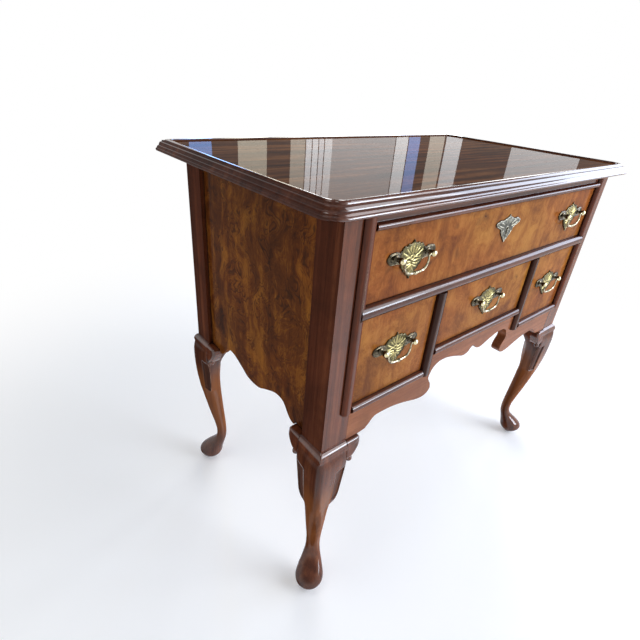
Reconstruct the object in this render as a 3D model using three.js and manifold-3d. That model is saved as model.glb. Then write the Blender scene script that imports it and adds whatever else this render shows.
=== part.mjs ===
// Walnut lowboy: a shaped, dished top on four posts that run down into cabriole legs,
// one long drawer over three short ones, a scalloped apron and brass bail pulls.
// Millimetres, +Z up, front towards -Y, origin on the floor under the middle of the top.

import * as THREE from 'three';
import { mergeVertices } from 'three/addons/utils/BufferGeometryUtils.js';
import Module from 'manifold-3d';

const wasm = await Module();
wasm.setup();

// Play between pieces
const seat = 0.3;            // between pieces that touch
const drawerPlay = 1.2;      // beside and above a drawer front
const cutOverrun = 1;        // how far a cut runs past the face that it opens
const mergeReach = 1e-4;     // corners closer than this become one before a join or a cut

// Case
const caseWidth = 780;
const caseDepth = 433;
const collarHeight = 368;    // where the posts end and the knees begin
const postSize = 51;
const panelThickness = 12;
const panelSetBack = 8;      // side panels lie behind the faces of the posts
const backThickness = 12;
const backSetIn = 2;
const backLift = 18;         // foot of the back board above the collars
const sideEdgeDrop = 7;      // lowest point of a side panel's shaped edge, below the collars
const sideEdgeRise = 30;     // from there to the top of its arches
const apronThickness = 20;
const apronHeight = 59;      // from the collars up to the rails under the side drawers
const apronLift = 2;         // lowest point of the front apron above the collars
const apronNeck = 26.7;      // wood left above its middle arch
const railDepth = 60;

// Top board
const topThickness = 20.5;
const sideOverhang = 44;     // the top beyond the case
const frontOverhang = 26;
const backOverhang = 27;
const dishDepth = 3;
const edgeWidth = 20;        // width of the moulded edge in plan
const backLipWidth = 13;     // the raised lip along the plain back edge
const cornerRun = 30;        // where a front corner leaves the straight edge
const runFadeShare = 0.4;    // the run shortens by this share of the inset
const cornerCusp = 9.5;      // the small inward cusp of the corner, in from both edges
const cuspFadeShare = 0.12;  // the cusp gets shallower by this share of the inset
const cuspBendShare = 1.45;  // where the corner's two lobes bend, as a share of the cusp

// Rails and drawer openings, from the top down
const topRailHeight = 26.5;
const topOpening = 106.5;
const middleRailHeight = 21;
const centreOpening = 112;
const centreRailHeight = 15;
const sideOpening = 153;
const sideRailHeight = 14;
const dividerWidth = 21;
const dividerOffset = 155.5; // from the middle of the case to the middle of a divider
const dividerDepth = 30;

// Half-round mouldings on the framing
const noseFillet = 1.5;
const middleNose = 9.5;
const topNose = 7;
const topNoseHeight = 11;
const lowerNose = 8;
const dividerNose = 7.5;
const stileNose = 7.5;
const stileMouldingWidth = 19;
const stileMouldingLift = 3; // its foot above the bottom of the side rails
const noseLap = 9;           // how far the middle rail's nosing runs over the upright mouldings
const noseSteps = 8;

// Drawers
const frontThickness = 20;
const frontSetBack = 1.5;
const drawerBackGap = 31.5;  // between a closed drawer and the back board
const sideThickness = 10;
const sideDrop = 9;          // a drawer's sides stop this far below the top of its front
const bottomThickness = 6;
const bottomLift = 8;
const tailLength = 14;
const tailNeck = 13;
const tailFlare = 3.5;
const tailPitch = 31;

// Runners
const runnerThickness = 14;
const runnerTread = 17;      // how far a runner reaches under its drawer
const runnerGuide = 22;      // height of the guide beside a drawer

// Legs
const glideHeight = 4.7;
const glideRadius = 10.5;
const glideBevel = 0.8;
const footCentre = 9.6;      // in from both faces of the post

// Knee blocks
const blockLength = 30;
const blockHeight = 43;
const blockThickness = 14;
const blockProud = 9;
const blockBall = 7;         // radius of the small ball under a block

// Brasses
const plateWidth = 104;
const plateHeight = 60;
const plateThickness = 1.6;
const pullRise = 7;          // bail centres above the middle of the plate
const pullSpacing = 68;
const pullProud = 12;        // middle of a post's ball, out from the drawer front
const ballRadius = 5.2;
const neckRadius = 2.6;
const footRadius = 5.6;
const footRise = 2.4;
const shankRadius = 3;
const nutRadius = 6;
const nutThickness = 4;
const wireRadius = 1.9;
const wireEnd = 3;           // how far a bail's end reaches into the ball
const bailDrop = 23.5;
const bailCollarRadius = 3;
const bailCollarLength = 6;
const escutcheonWidth = 78;
const escutcheonHeight = 50;
const escutcheonThickness = 1.4;
const escutcheonRise = 10;   // above the middle of the drawer front
const keyRadius = 3.2;
const keySlot = 3;
const keyDrop = 11;
const lockWidth = 56;
const lockHeight = 38;
const lockThickness = 9;
const lockBevel = 1;

// Faces round small turned pieces, and steps along a curve
const roundSteps = 8;
const glideSteps = 12;
const cornerSteps = 4;       // along each lobe of a front corner
const sectionSteps = 4;      // round a leg, from its ridge to its widest point
const wireSteps = 22;

// Places that follow from the sizes above
const frontFace = -caseDepth / 2;
const backFace = caseDepth / 2;
const topWidth = caseWidth + 2 * sideOverhang;
const topDepth = caseDepth + frontOverhang + backOverhang;
const caseMiddle = -topDepth / 2 + frontOverhang - frontFace;
const postInside = caseWidth / 2 - postSize;
const panelOutside = caseWidth / 2 - panelSetBack;
const panelInside = panelOutside - panelThickness;
const backPanelFront = backFace - backSetIn - backThickness;
const sideRailBottom = collarHeight + apronHeight;
const sideOpeningBottom = sideRailBottom + sideRailHeight;
const lowerOpeningTop = sideOpeningBottom + sideOpening;
const topOpeningBottom = lowerOpeningTop + middleRailHeight;
const topOpeningTop = topOpeningBottom + topOpening;
const caseTop = topOpeningTop + topRailHeight;
const centreOpeningBottom = lowerOpeningTop - centreOpening;
const centreRailBottom = centreOpeningBottom - centreRailHeight;
const backBottom = collarHeight + backLift;
const sideEdgeBottom = collarHeight - sideEdgeDrop;
const stileMouldingBottom = sideRailBottom + stileMouldingLift;
const apronBottom = collarHeight + apronLift;
const apronRise = centreRailBottom - seat - apronNeck - apronBottom;
const dividerInside = dividerOffset - dividerWidth / 2;
const dividerOutside = dividerOffset + dividerWidth / 2;
const runnerFront = frontFace + railDepth + seat;
const drawerFace = frontFace + frontSetBack;
const drawerFrontBack = drawerFace + frontThickness;
const drawerEnd = backPanelFront - drawerBackGap;
const legBottom = glideHeight + seat;
const postDiagonal = postSize * Math.SQRT2;
const sidePullOffset = (dividerOutside + postInside) / 2;

// Materials
function finish(color, roughness, metalness) {
  return new THREE.MeshStandardMaterial({ color, roughness, metalness });
}

const figuredWalnut = finish(0x8a4f25, 0.28, 0);
const darkWalnut = finish(0x4a2618, 0.32, 0);
const midWalnut = finish(0x6b3a22, 0.34, 0);
const agedBrass = finish(0xb08a45, 0.35, 1);
const drawerWood = finish(0xa9794a, 0.6, 0);
const steel = finish(0x8a8d8e, 0.4, 1);

const lowboy = new THREE.Group();
const carcase = new THREE.Group();
carcase.position.y = caseMiddle;
lowboy.add(carcase);

function addPiece(name, geometry, material, parent = carcase) {
  const mesh = new THREE.Mesh(geometry, material);
  mesh.name = name;
  parent.add(mesh);
  return mesh;
}

// Joining and cutting
function solidFrom(geometry) {
  const bare = geometry.index ? geometry.toNonIndexed() : geometry.clone();
  bare.deleteAttribute('normal');
  bare.deleteAttribute('uv');
  const merged = mergeVertices(bare, mergeReach);
  return new wasm.Manifold(new wasm.Mesh({
    numProp: 3,
    vertProperties: new Float32Array(merged.attributes.position.array),
    triVerts: new Uint32Array(merged.index.array),
  }));
}

function geometryFrom(solid) {
  const mesh = solid.getMesh();
  const geometry = new THREE.BufferGeometry();
  geometry.setAttribute('position', new THREE.BufferAttribute(new Float32Array(mesh.vertProperties), 3));
  geometry.setIndex(new THREE.BufferAttribute(new Uint32Array(mesh.triVerts), 1));
  geometry.computeVertexNormals();
  return geometry;
}

function joined(...geometries) {
  return geometryFrom(geometries.map(solidFrom).reduce((all, next) => all.add(next)));
}

function cut(body, ...tools) {
  return geometryFrom(tools.map(solidFrom).reduce((all, next) => all.subtract(next), solidFrom(body)));
}

// A copy with each face turned to look the other way
function turnedFaces(geometry) {
  const copy = geometry.index ? geometry.toNonIndexed() : geometry.clone();
  const corners = copy.attributes.position;
  for (let first = 0; first < corners.count; first += 3) {
    const held = new THREE.Vector3().fromBufferAttribute(corners, first + 1);
    const other = new THREE.Vector3().fromBufferAttribute(corners, first + 2);
    corners.setXYZ(first + 1, other.x, other.y, other.z);
    corners.setXYZ(first + 2, held.x, held.y, held.z);
  }
  copy.computeVertexNormals();
  return copy;
}

// The same piece on the other side of the case, with its faces still outwards
function reflected(geometry, signX, signY) {
  const copy = geometry.clone().scale(signX, signY, 1);
  return signX * signY > 0 ? copy : turnedFaces(copy);
}

// Boards and mouldings drawn as outlines
const outline = (points) => new THREE.Shape(points.map(([across, up]) => new THREE.Vector2(across, up)));

function extruded(shape, depth, curveSegments = 2) {
  return new THREE.ExtrudeGeometry(shape, { depth, bevelEnabled: false, curveSegments });
}

// An outline in Y and Z, run along X
function alongX(shape, from, to) {
  const turn = new THREE.Matrix4().makeBasis(
    new THREE.Vector3(0, 1, 0), new THREE.Vector3(0, 0, 1), new THREE.Vector3(1, 0, 0));
  return extruded(shape, to - from).applyMatrix4(turn).translate(from, 0, 0);
}

// An outline in X and Z, run along Y
const alongY = (shape, from, to) => extruded(shape, to - from).rotateX(Math.PI / 2).translate(0, to, 0);

// An outline in X and Y, run along Z
const alongZ = (shape, from, to) => extruded(shape, to - from).translate(0, 0, from);

// A closed skin through level rings of points, all with the same count
function loft(rings) {
  const positions = rings.flat().flatMap((point) => [point.x, point.y, point.z]);
  const around = rings[0].length;
  const faces = [];
  for (let level = 0; level < rings.length - 1; level += 1) {
    for (let place = 0; place < around; place += 1) {
      const next = (place + 1) % around;
      const low = level * around;
      const high = low + around;
      faces.push(low + place, low + next, high + next, low + place, high + next, high + place);
    }
  }
  for (const level of [0, rings.length - 1]) {
    const start = level * around;
    const middle = positions.length / 3;
    const sum = rings[level].reduce((total, point) => total.add(point), new THREE.Vector3());
    positions.push(sum.x / around, sum.y / around, sum.z / around);
    for (let place = 0; place < around; place += 1) {
      const next = (place + 1) % around;
      if (level === 0) faces.push(middle, start + next, start + place);
      else faces.push(middle, start + place, start + next);
    }
  }
  const geometry = new THREE.BufferGeometry();
  geometry.setAttribute('position', new THREE.Float32BufferAttribute(positions, 3));
  geometry.setIndex(faces);
  geometry.computeVertexNormals();
  return geometry;
}

// A board with a half-round front edge, as points of width and depth
function nosePoints(boardWidth, noseWidth, boardDepth, proud) {
  const points = [[0, boardDepth], [boardWidth, boardDepth]];
  if (noseWidth < boardWidth) points.push([boardWidth, 0], [noseWidth, 0]);
  for (let step = 0; step <= noseSteps; step += 1) {
    const turn = Math.PI * step / noseSteps;
    points.push([
      noseWidth / 2 + noseWidth / 2 * Math.cos(turn),
      -noseFillet - (proud - noseFillet) * Math.sin(turn),
    ]);
  }
  return points;
}

function mouldedRail(height, noseHeight, proud, bottom, left, right, depth = railDepth) {
  const points = nosePoints(height, noseHeight, depth, proud);
  return alongX(outline(points.map(([up, back]) => [frontFace + back, bottom + up])), left, right);
}

function mouldedUpright(width, depth, proud, left, bottom, top) {
  const points = nosePoints(width, width, depth, proud);
  return alongZ(outline(points.map(([across, back]) => [left + across, frontFace + back])), bottom, top);
}

// Top board: its edge moulding, from the underside out, up and in to the sunk field.
// Shares of the edge's width, measured in, and of the board's thickness, measured up.
// The moulding runs along the front and both sides; only its lip runs along the back.
const edgeShares = [
  [0.23, 0], [0.08, 0.04], [0, 0.155], [0.03, 0.255], [0.12, 0.3],
  [0.15, 0.39], [0.23, 0.473], [0.33, 0.51], [0.35, 0.61], [0.43, 0.736],
  [0.56, 0.79], [0.615, 0.8], [0.635, 0.89], [0.72, 0.982], [0.83, 1], [0.93, 0.964],
];
const lipShare = 0.615;

function topRing(inShare, height) {
  const inset = edgeWidth * inShare;
  const front = -topDepth / 2 + inset - caseMiddle;
  const backInset = backLipWidth * Math.max(0, inShare - lipShare) / (1 - lipShare);
  const back = topDepth / 2 - backInset - caseMiddle;
  const side = topWidth / 2 - inset;
  const run = cornerRun - runFadeShare * inset;
  const cusp = cornerCusp - cuspFadeShare * inset;
  const bend = cusp * cuspBendShare;
  const corner = (sign, along, beyond) => new THREE.Vector3(sign * (side - beyond), front + along, height);
  const lobe = (...corners) => new THREE.QuadraticBezierCurve3(...corners).getPoints(cornerSteps);
  const lobes = (sign) => [
    ...lobe(corner(sign, run, 0), corner(sign, bend, 0), corner(sign, cusp, cusp)),
    ...lobe(corner(sign, cusp, cusp), corner(sign, 0, bend), corner(sign, 0, run)).slice(1),
  ];
  return [
    ...lobes(-1), ...lobes(1).reverse(),
    new THREE.Vector3(side, back, height), new THREE.Vector3(-side, back, height),
  ];
}

function topBoard() {
  const rings = edgeShares.map(([inShare, upShare]) => topRing(inShare, caseTop + topThickness * upShare));
  rings.push(topRing(1, caseTop + topThickness - dishDepth));
  return loft(rings);
}

addPiece('top_board', topBoard(), figuredWalnut);

// Legs. Each row is a level section: its height as a share of the way from the foot to the
// collar, then, as shares of the post's diagonal and measured outwards from the post's corner,
// the knee ridge, half the width, the widest line and the back, and the fullness in front and behind.
const legShares = [
  [0, 0, 0.208, -0.187, -0.39, 2, 2],
  [0.0138, 0.125, 0.312, -0.18, -0.485, 2, 2],
  [0.0386, 0.23, 0.388, -0.177, -0.571, 2, 2],
  [0.0579, 0.24, 0.399, -0.173, -0.582, 2, 2],
  [0.0771, 0.18, 0.381, -0.208, -0.596, 2, 2],
  [0.1047, 0.014, 0.34, -0.305, -0.631, 2, 2],
  [0.135, -0.18, 0.284, -0.416, -0.672, 2, 2],
  [0.1625, -0.34, 0.236, -0.513, -0.714, 2, 2],
  [0.1956, -0.43, 0.197, -0.589, -0.749, 2, 2],
  [0.248, -0.441, 0.189, -0.596, -0.752, 2, 2],
  [0.303, -0.388, 0.204, -0.562, -0.735, 2, 2],
  [0.372, -0.284, 0.229, -0.492, -0.7, 2, 2],
  [0.4545, -0.166, 0.257, -0.416, -0.666, 2, 2],
  [0.551, -0.044, 0.287, -0.347, -0.632, 1.9, 1.9],
  [0.595, 0.039, 0.319, -0.36, -0.625, 1.7, 1.6],
  [0.6215, 0.089, 0.358, -0.405, -0.617, 1.5, 1.4],
  [0.629, 0.101, 0.452, -0.445, -0.614, 1.25, 1.1],
  [0.65, 0.134, 0.484, -0.458, -0.609, 1.22, 1],
  [0.675, 0.169, 0.5, -0.462, -0.603, 1.2, 1],
  [0.741, 0.23, 0.534, -0.485, -0.6, 1.15, 1],
  [0.807, 0.252, 0.568, -0.491, -0.645, 1.12, 1],
  [0.8457, 0.255, 0.578, -0.46, -0.76, 1.12, 1],
  [0.8815, 0.25, 0.584, -0.416, -0.93, 1.1, 1],
  [0.917, 0.222, 0.588, -0.412, -1, 1.08, 1],
  [0.945, 0.171, 0.571, -0.428, -1, 1, 1],
  [0.956, 0.155, 0.567, -0.431, -1, 1, 1],
  [0.967, 0.164, 0.574, -0.427, -1, 1, 1],
  [0.9835, 0.132, 0.564, -0.437, -1, 1, 1],
  [0.997, 0.055, 0.53, -0.47, -1, 1, 1],
  [1, 0, 0.5, -0.5, -1, 1, 1],
];

function legRing([, ridge, halfWidth, middle, back, frontFullness, backFullness], height) {
  const half = [];
  for (let step = 0; step <= 2 * sectionSteps; step += 1) {
    const turn = Math.PI / 2 * step / sectionSteps;
    const inFront = step <= sectionSteps;
    const power = 2 / (inFront ? frontFullness : backFullness);
    const reach = Math.abs(Math.cos(turn)) ** power;
    const out = middle + (inFront ? (ridge - middle) * reach : (back - middle) * reach);
    half.push([out * postDiagonal, halfWidth * postDiagonal * Math.abs(Math.sin(turn)) ** power]);
  }
  const otherHalf = half.slice(1, -1).reverse().map(([out, aside]) => [out, -aside]);
  return [...half, ...otherHalf].map(([out, aside]) => new THREE.Vector3(
    -caseWidth / 2 - (out - aside) / Math.SQRT2,
    frontFace - (out + aside) / Math.SQRT2,
    height));
}

function leg() {
  const rings = legShares.map((row) => legRing(row, legBottom + (collarHeight - legBottom) * row[0]));
  rings.push(legRing(legShares[legShares.length - 1], caseTop - seat));
  return loft(rings);
}

// A knee block: a bracket that carries the leg's collar and knee on under the apron, rounds
// off at its far end and finishes in a small ball. Each row is an upright section: its place
// along the block, its top and foot as shares of the height, down, and how far its face swells.
const blockShares = [
  [0, 0, 1, 1], [0.35, 0, 0.98, 1], [0.56, 0, 0.88, 0.99], [0.72, 0, 0.73, 0.95],
  [0.87, 0.01, 0.52, 0.83], [0.96, 0.05, 0.38, 0.6], [1, 0.12, 0.27, 0.25],
];
// The face from collar to foot: shares of the section's height, down, and of the swell
const blockFaceShares = [
  [0, 0.3], [0.06, 0.62], [0.14, 0.78], [0.27, 0.84], [0.37, 0.76], [0.46, 0.86], [0.66, 1],
  [0.84, 0.93], [0.95, 0.68], [1, 0.3],
];
const blockBallAlongShare = 0.33;

function kneeBlock() {
  const rings = blockShares.map(([along, top, foot, swell]) => {
    const place = (back, down) => new THREE.Vector3(
      blockLength * along, back, collarHeight - blockHeight * down);
    const face = blockFaceShares.map(
      ([down, out]) => place(-blockProud * swell * out, top + (foot - top) * down));
    return [place(blockThickness, foot), place(blockThickness, top), ...face];
  });
  const ball = new THREE.SphereGeometry(blockBall, roundSteps, roundSteps - 2)
    .translate(blockLength * blockBallAlongShare, blockBall - blockProud, collarHeight - blockHeight);
  return joined(loft(rings), ball).translate(postSize + seat, 0, 0);
}

// The block lies along the front with its leg on the left; swapped, it lies along the left side
function alongFront(geometry) {
  return geometry.clone().translate(-caseWidth / 2, frontFace, 0);
}

function alongSide(geometry) {
  const swapped = new THREE.Matrix4().makeBasis(
    new THREE.Vector3(0, 1, 0), new THREE.Vector3(1, 0, 0), new THREE.Vector3(0, 0, 1));
  return turnedFaces(geometry).applyMatrix4(swapped).translate(-caseWidth / 2, frontFace, 0);
}

const glideProfile = [
  [0, 0], [glideRadius - glideBevel, 0], [glideRadius, glideBevel],
  [glideRadius, glideHeight], [0, glideHeight],
].map(([out, up]) => new THREE.Vector2(out, up));

const legGeometry = leg();
const blockGeometry = kneeBlock();
const ends = [['front', 1], ['rear', -1]];
const sides = [['left', 1], ['right', -1]];
for (const [end, signY] of ends) {
  for (const [side, signX] of sides) {
    addPiece(`leg_${end}_${side}`, reflected(legGeometry, signX, signY), darkWalnut);
    const block = reflected(alongSide(blockGeometry), signX, signY);
    addPiece(`knee_block_side_${end}_${side}`, block, darkWalnut);
    const glide = new THREE.LatheGeometry(glideProfile, glideSteps).rotateX(Math.PI / 2);
    const mesh = addPiece(`glide_${end}_${side}`, glide, steel);
    mesh.position.x = -signX * (caseWidth / 2 - footCentre);
    mesh.position.y = -signY * (caseDepth / 2 - footCentre);
  }
}
for (const [side, signX] of sides) {
  addPiece(`knee_block_front_${side}`, reflected(alongFront(blockGeometry), signX, 1), darkWalnut);
}

// Side panels, with a shaped lower edge. Shares of half the panel's length, from its middle
// out, and of the rise from the foot of the edge to the top of its arches.
const sideEdgeShares = [
  [0, 0.13], [0.12, 0.19], [0.24, 0.5], [0.42, 0.93], [0.53, 0.98], [0.61, 0.83],
  [0.7, 0.23], [0.76, 0.02], [0.8, 0],
];
const panelHalf = caseDepth / 2 - postSize - seat;
const blockEnd = caseDepth / 2 - postSize - seat - blockLength;

function sidePanel() {
  const half = sideEdgeShares.map(
    ([along, up]) => new THREE.Vector2(panelHalf * along, sideEdgeBottom + sideEdgeRise * up));
  const shape = new THREE.Shape();
  shape.moveTo(-panelHalf, caseTop - seat);
  shape.lineTo(-panelHalf, collarHeight + seat);
  shape.lineTo(-blockEnd + seat, collarHeight + seat);
  shape.lineTo(-half[half.length - 1].x, half[half.length - 1].y);
  shape.splineThru([...half].reverse().slice(1).map(({ x, y }) => new THREE.Vector2(-x, y)));
  shape.splineThru(half.slice(1));
  shape.lineTo(blockEnd - seat, collarHeight + seat);
  shape.lineTo(panelHalf, collarHeight + seat);
  shape.lineTo(panelHalf, caseTop - seat);
  return alongX(shape, -panelOutside, -panelInside);
}

const panelGeometry = sidePanel();
for (const [side, signX] of sides) {
  addPiece(`side_panel_${side}`, reflected(panelGeometry, signX, 1), figuredWalnut);
}

// Back board, between the rear posts
addPiece('back_board', alongY(outline([
  [-postInside + seat, backBottom], [postInside - seat, backBottom],
  [postInside - seat, caseTop - seat], [-postInside + seat, caseTop - seat],
]), backPanelFront, backPanelFront + backThickness), drawerWood);

// Front apron. Its lower edge is two smooth curves between cusps. The middle one has shares of
// half the raised middle's width, the outer one of the way on from there to the post, and both
// have shares of the rise from the drops to the middle.
const middleEdgeShares = [
  [0, 0.96], [0.052, 0.89], [0.11, 0.78], [0.22, 0.75], [0.41, 0.88], [0.625, 0.99],
  [0.784, 0.98], [0.885, 0.86], [0.927, 0.69], [0.936, 0.55], [0.875, 0.365],
];
const outerEdgeShares = [
  [-0.11, 0.18], [-0.067, 0.04], [0.005, 0], [0.099, 0.035], [0.218, 0.125], [0.354, 0.215],
  [0.482, 0.265], [0.633, 0.275], [0.686, 0.23], [0.726, 0.12], [0.77, 0.01],
];
const apronHalf = postInside - seat;
const frontBlockEnd = postInside - seat - blockLength;

function frontApron() {
  const shape = new THREE.Shape();
  const shoulder = sideRailBottom - seat;
  const raised = centreRailBottom - seat;
  const raisedHalf = dividerInside - seat;
  const middleEdge = middleEdgeShares.map(
    ([along, up]) => new THREE.Vector2(raisedHalf * along, apronBottom + apronRise * up));
  const outerEdge = outerEdgeShares.map(([along, up]) => new THREE.Vector2(
    raisedHalf + (apronHalf - raisedHalf) * along, apronBottom + apronRise * up));
  const runs = [middleEdge, [middleEdge[middleEdge.length - 1], ...outerEdge]];
  shape.moveTo(-apronHalf, shoulder);
  shape.lineTo(-apronHalf, collarHeight + seat);
  shape.lineTo(-frontBlockEnd + seat, collarHeight + seat);
  const outer = runs[1][runs[1].length - 1];
  shape.lineTo(-outer.x, outer.y);
  for (const run of [...runs].reverse()) {
    shape.splineThru([...run].reverse().slice(1).map(({ x, y }) => new THREE.Vector2(-x, y)));
  }
  for (const run of runs) shape.splineThru(run.slice(1));
  shape.lineTo(frontBlockEnd - seat, collarHeight + seat);
  shape.lineTo(apronHalf, collarHeight + seat);
  shape.lineTo(apronHalf, shoulder);
  shape.lineTo(raisedHalf, shoulder);
  shape.lineTo(raisedHalf, raised);
  shape.lineTo(-raisedHalf, raised);
  shape.lineTo(-raisedHalf, shoulder);
  return alongY(shape, frontFace, frontFace + apronThickness);
}

addPiece('front_apron', frontApron(), midWalnut);

// Framing of the front
const railHalf = postInside - seat;
addPiece('top_rail', mouldedRail(topRailHeight - seat, topNoseHeight, topNose, topOpeningTop,
  -railHalf, railHalf), darkWalnut);
const nosed = postInside + noseLap;
addPiece('middle_rail', joined(
  mouldedRail(middleRailHeight, middleRailHeight, middleNose, lowerOpeningTop, -railHalf, railHalf),
  mouldedRail(middleRailHeight, middleRailHeight, middleNose, lowerOpeningTop, -nosed, nosed, -seat),
), darkWalnut);
addPiece('centre_rail', mouldedRail(centreRailHeight, centreRailHeight, lowerNose, centreRailBottom,
  -dividerInside + seat, dividerInside - seat), darkWalnut);
const sideRail = mouldedRail(sideRailHeight, sideRailHeight, lowerNose, sideRailBottom,
  -railHalf, -dividerOutside - seat);
const divider = mouldedUpright(dividerWidth, dividerDepth, dividerNose, -dividerOutside,
  sideRailBottom, lowerOpeningTop - seat);
const stileFull = mouldedUpright(stileMouldingWidth, -seat, stileNose, -postInside - stileMouldingWidth,
  stileMouldingBottom, caseTop - seat);
const lapHeight = middleRailHeight + 2 * seat;
const lap = mouldedRail(lapHeight, lapHeight, middleNose + cutOverrun, lowerOpeningTop - seat,
  -nosed - seat, -postInside + cutOverrun, cutOverrun);
const stileMoulding = cut(stileFull, lap);
for (const [side, signX] of sides) {
  addPiece(`side_rail_${side}`, reflected(sideRail, signX, 1), darkWalnut);
  addPiece(`divider_${side}`, reflected(divider, signX, 1), darkWalnut);
  addPiece(`stile_moulding_${side}`, reflected(stileMoulding, signX, 1), darkWalnut);
}

// Runners inside the case: a tread under each drawer side and a guide beside it
function outerRunner(tread) {
  const outside = -panelInside + seat;
  return alongY(outline([
    [outside, tread - runnerThickness], [-postInside + runnerTread, tread - runnerThickness],
    [-postInside + runnerTread, tread], [-postInside, tread],
    [-postInside, tread + runnerGuide], [outside, tread + runnerGuide],
  ]), runnerFront, backFace - postSize - seat);
}

const innerRunner = alongY(outline([
  [-dividerOutside - runnerTread, sideOpeningBottom - runnerThickness],
  [-dividerInside, sideOpeningBottom - runnerThickness],
  [-dividerInside, centreOpeningBottom - runnerThickness],
  [-dividerInside + runnerTread, centreOpeningBottom - runnerThickness],
  [-dividerInside + runnerTread, centreOpeningBottom],
  [-dividerInside, centreOpeningBottom],
  [-dividerInside, centreOpeningBottom + runnerGuide],
  [-dividerOutside, centreOpeningBottom + runnerGuide],
  [-dividerOutside, sideOpeningBottom],
  [-dividerOutside - runnerTread, sideOpeningBottom],
]), runnerFront, backPanelFront - seat);
const topRunner = outerRunner(topOpeningBottom);
const lowerRunner = outerRunner(sideOpeningBottom);
for (const [side, signX] of sides) {
  addPiece(`runner_top_${side}`, reflected(topRunner, signX, 1), drawerWood);
  addPiece(`runner_outer_${side}`, reflected(lowerRunner, signX, 1), drawerWood);
  addPiece(`runner_inner_${side}`, reflected(innerRunner, signX, 1), drawerWood);
}

// Drawers: a thick front, a box of two sides and a back dovetailed into it, and a bottom
function dovetails(bottom, height, grow) {
  const count = Math.max(2, Math.floor(height / tailPitch));
  const pitch = height / count;
  const tails = [];
  for (let tail = 0; tail < count; tail += 1) {
    const middle = bottom + pitch * (tail + 0.5);
    tails.push(outline([
      [drawerFrontBack + cutOverrun, middle - tailNeck / 2 - grow],
      [drawerFrontBack + cutOverrun, middle + tailNeck / 2 + grow],
      [drawerFrontBack - tailLength - grow, middle + tailNeck / 2 + tailFlare + grow],
      [drawerFrontBack - tailLength - grow, middle - tailNeck / 2 - tailFlare - grow],
    ]));
  }
  return tails;
}

function drawer(name, opening, pulls, hasLock) {
  const left = opening.left + drawerPlay;
  const right = opening.right - drawerPlay;
  const bottom = opening.bottom + seat;
  const top = opening.top - drawerPlay;
  const sideHeight = top - bottom - sideDrop;
  const middleHeight = (top + bottom) / 2;
  const group = new THREE.Group();
  carcase.add(group);

  const cuts = [];
  for (const tail of dovetails(bottom, sideHeight, seat)) {
    cuts.push(alongX(tail, left - cutOverrun, left + sideThickness + seat));
    cuts.push(alongX(tail, right - sideThickness - seat, right + cutOverrun));
  }
  const holeRadius = shankRadius + seat;
  for (const centre of pulls) {
    for (const aside of [-pullSpacing / 2, pullSpacing / 2]) {
      const hole = new THREE.CylinderGeometry(
        holeRadius, holeRadius, frontThickness + 2 * cutOverrun, roundSteps);
      cuts.push(hole.translate(centre + aside, drawerFace + frontThickness / 2, middleHeight + pullRise));
    }
  }
  if (hasLock) {
    const keyhole = middleHeight + escutcheonRise;
    cuts.push(keyway(keyhole, drawerFace - cutOverrun, drawerFrontBack + cutOverrun, seat));
    cuts.push(lockCase(keyhole, seat, cutOverrun));
    addPiece('escutcheon', escutcheon(keyhole), agedBrass, group);
    addPiece('lock_case', cut(lockCase(keyhole, 0, 0),
      keyway(keyhole, drawerFace - cutOverrun, drawerFrontBack - lockThickness / 2, 0)), steel, group);
  }
  const front = alongY(outline([[left, bottom], [right, bottom], [right, top], [left, top]]),
    drawerFace, drawerFrontBack);
  addPiece(`drawer_${name}_front`, cut(front, ...cuts), figuredWalnut, group);

  const boxFront = drawerFrontBack + seat;
  const box = alongZ(outline([
    [left, boxFront], [left + sideThickness, boxFront], [left + sideThickness, drawerEnd - sideThickness],
    [right - sideThickness, drawerEnd - sideThickness], [right - sideThickness, boxFront],
    [right, boxFront], [right, drawerEnd], [left, drawerEnd],
  ]), bottom, bottom + sideHeight);
  const tails = dovetails(bottom, sideHeight, 0).flatMap((tail) => [
    alongX(tail, left, left + sideThickness), alongX(tail, right - sideThickness, right),
  ]);
  addPiece(`drawer_${name}_box`, joined(box, ...tails), drawerWood, group);

  addPiece(`drawer_${name}_bottom`, alongZ(outline([
    [left + sideThickness + seat, boxFront], [right - sideThickness - seat, boxFront],
    [right - sideThickness - seat, drawerEnd - sideThickness - seat],
    [left + sideThickness + seat, drawerEnd - sideThickness - seat],
  ]), bottom + bottomLift, bottom + bottomLift + bottomThickness), drawerWood, group);

  pulls.forEach((centre, place) => {
    const label = pulls.length === 1 ? name : `${name}_${['left', 'right'][place]}`;
    const pull = new THREE.Group();
    pull.position.set(centre, drawerFace, middleHeight);
    group.add(pull);
    addPiece(`pull_${label}`, pullPlate(), agedBrass, pull);
    addPiece(`bail_${label}`, bail(), agedBrass, pull);
  });
}

// Brasses. Plate outlines are smooth runs between cusps, for one half, from the top finial
// round to the bottom: shares of half the width and of half the height.
const plateRunShares = [
  [[0, 1], [0.05, 0.86], [0.13, 0.79]],
  [[0.13, 0.79], [0.21, 0.82], [0.27, 0.71]],
  [[0.27, 0.71], [0.36, 0.74], [0.45, 0.57]],
  [[0.45, 0.57], [0.53, 0.48], [0.66, 0.55], [0.85, 0.53]],
  [[0.85, 0.53], [0.95, 0.45], [1, 0.24], [0.92, 0.03]],
  [[0.92, 0.03], [0.82, -0.06], [0.62, -0.06], [0.43, -0.12]],
  [[0.43, -0.12], [0.41, -0.28], [0.33, -0.4]],
  [[0.33, -0.4], [0.27, -0.56], [0.19, -0.6]],
  [[0.19, -0.6], [0.16, -0.74], [0.09, -0.79]],
  [[0.09, -0.79], [0.04, -0.87], [0, -1]],
];

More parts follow.
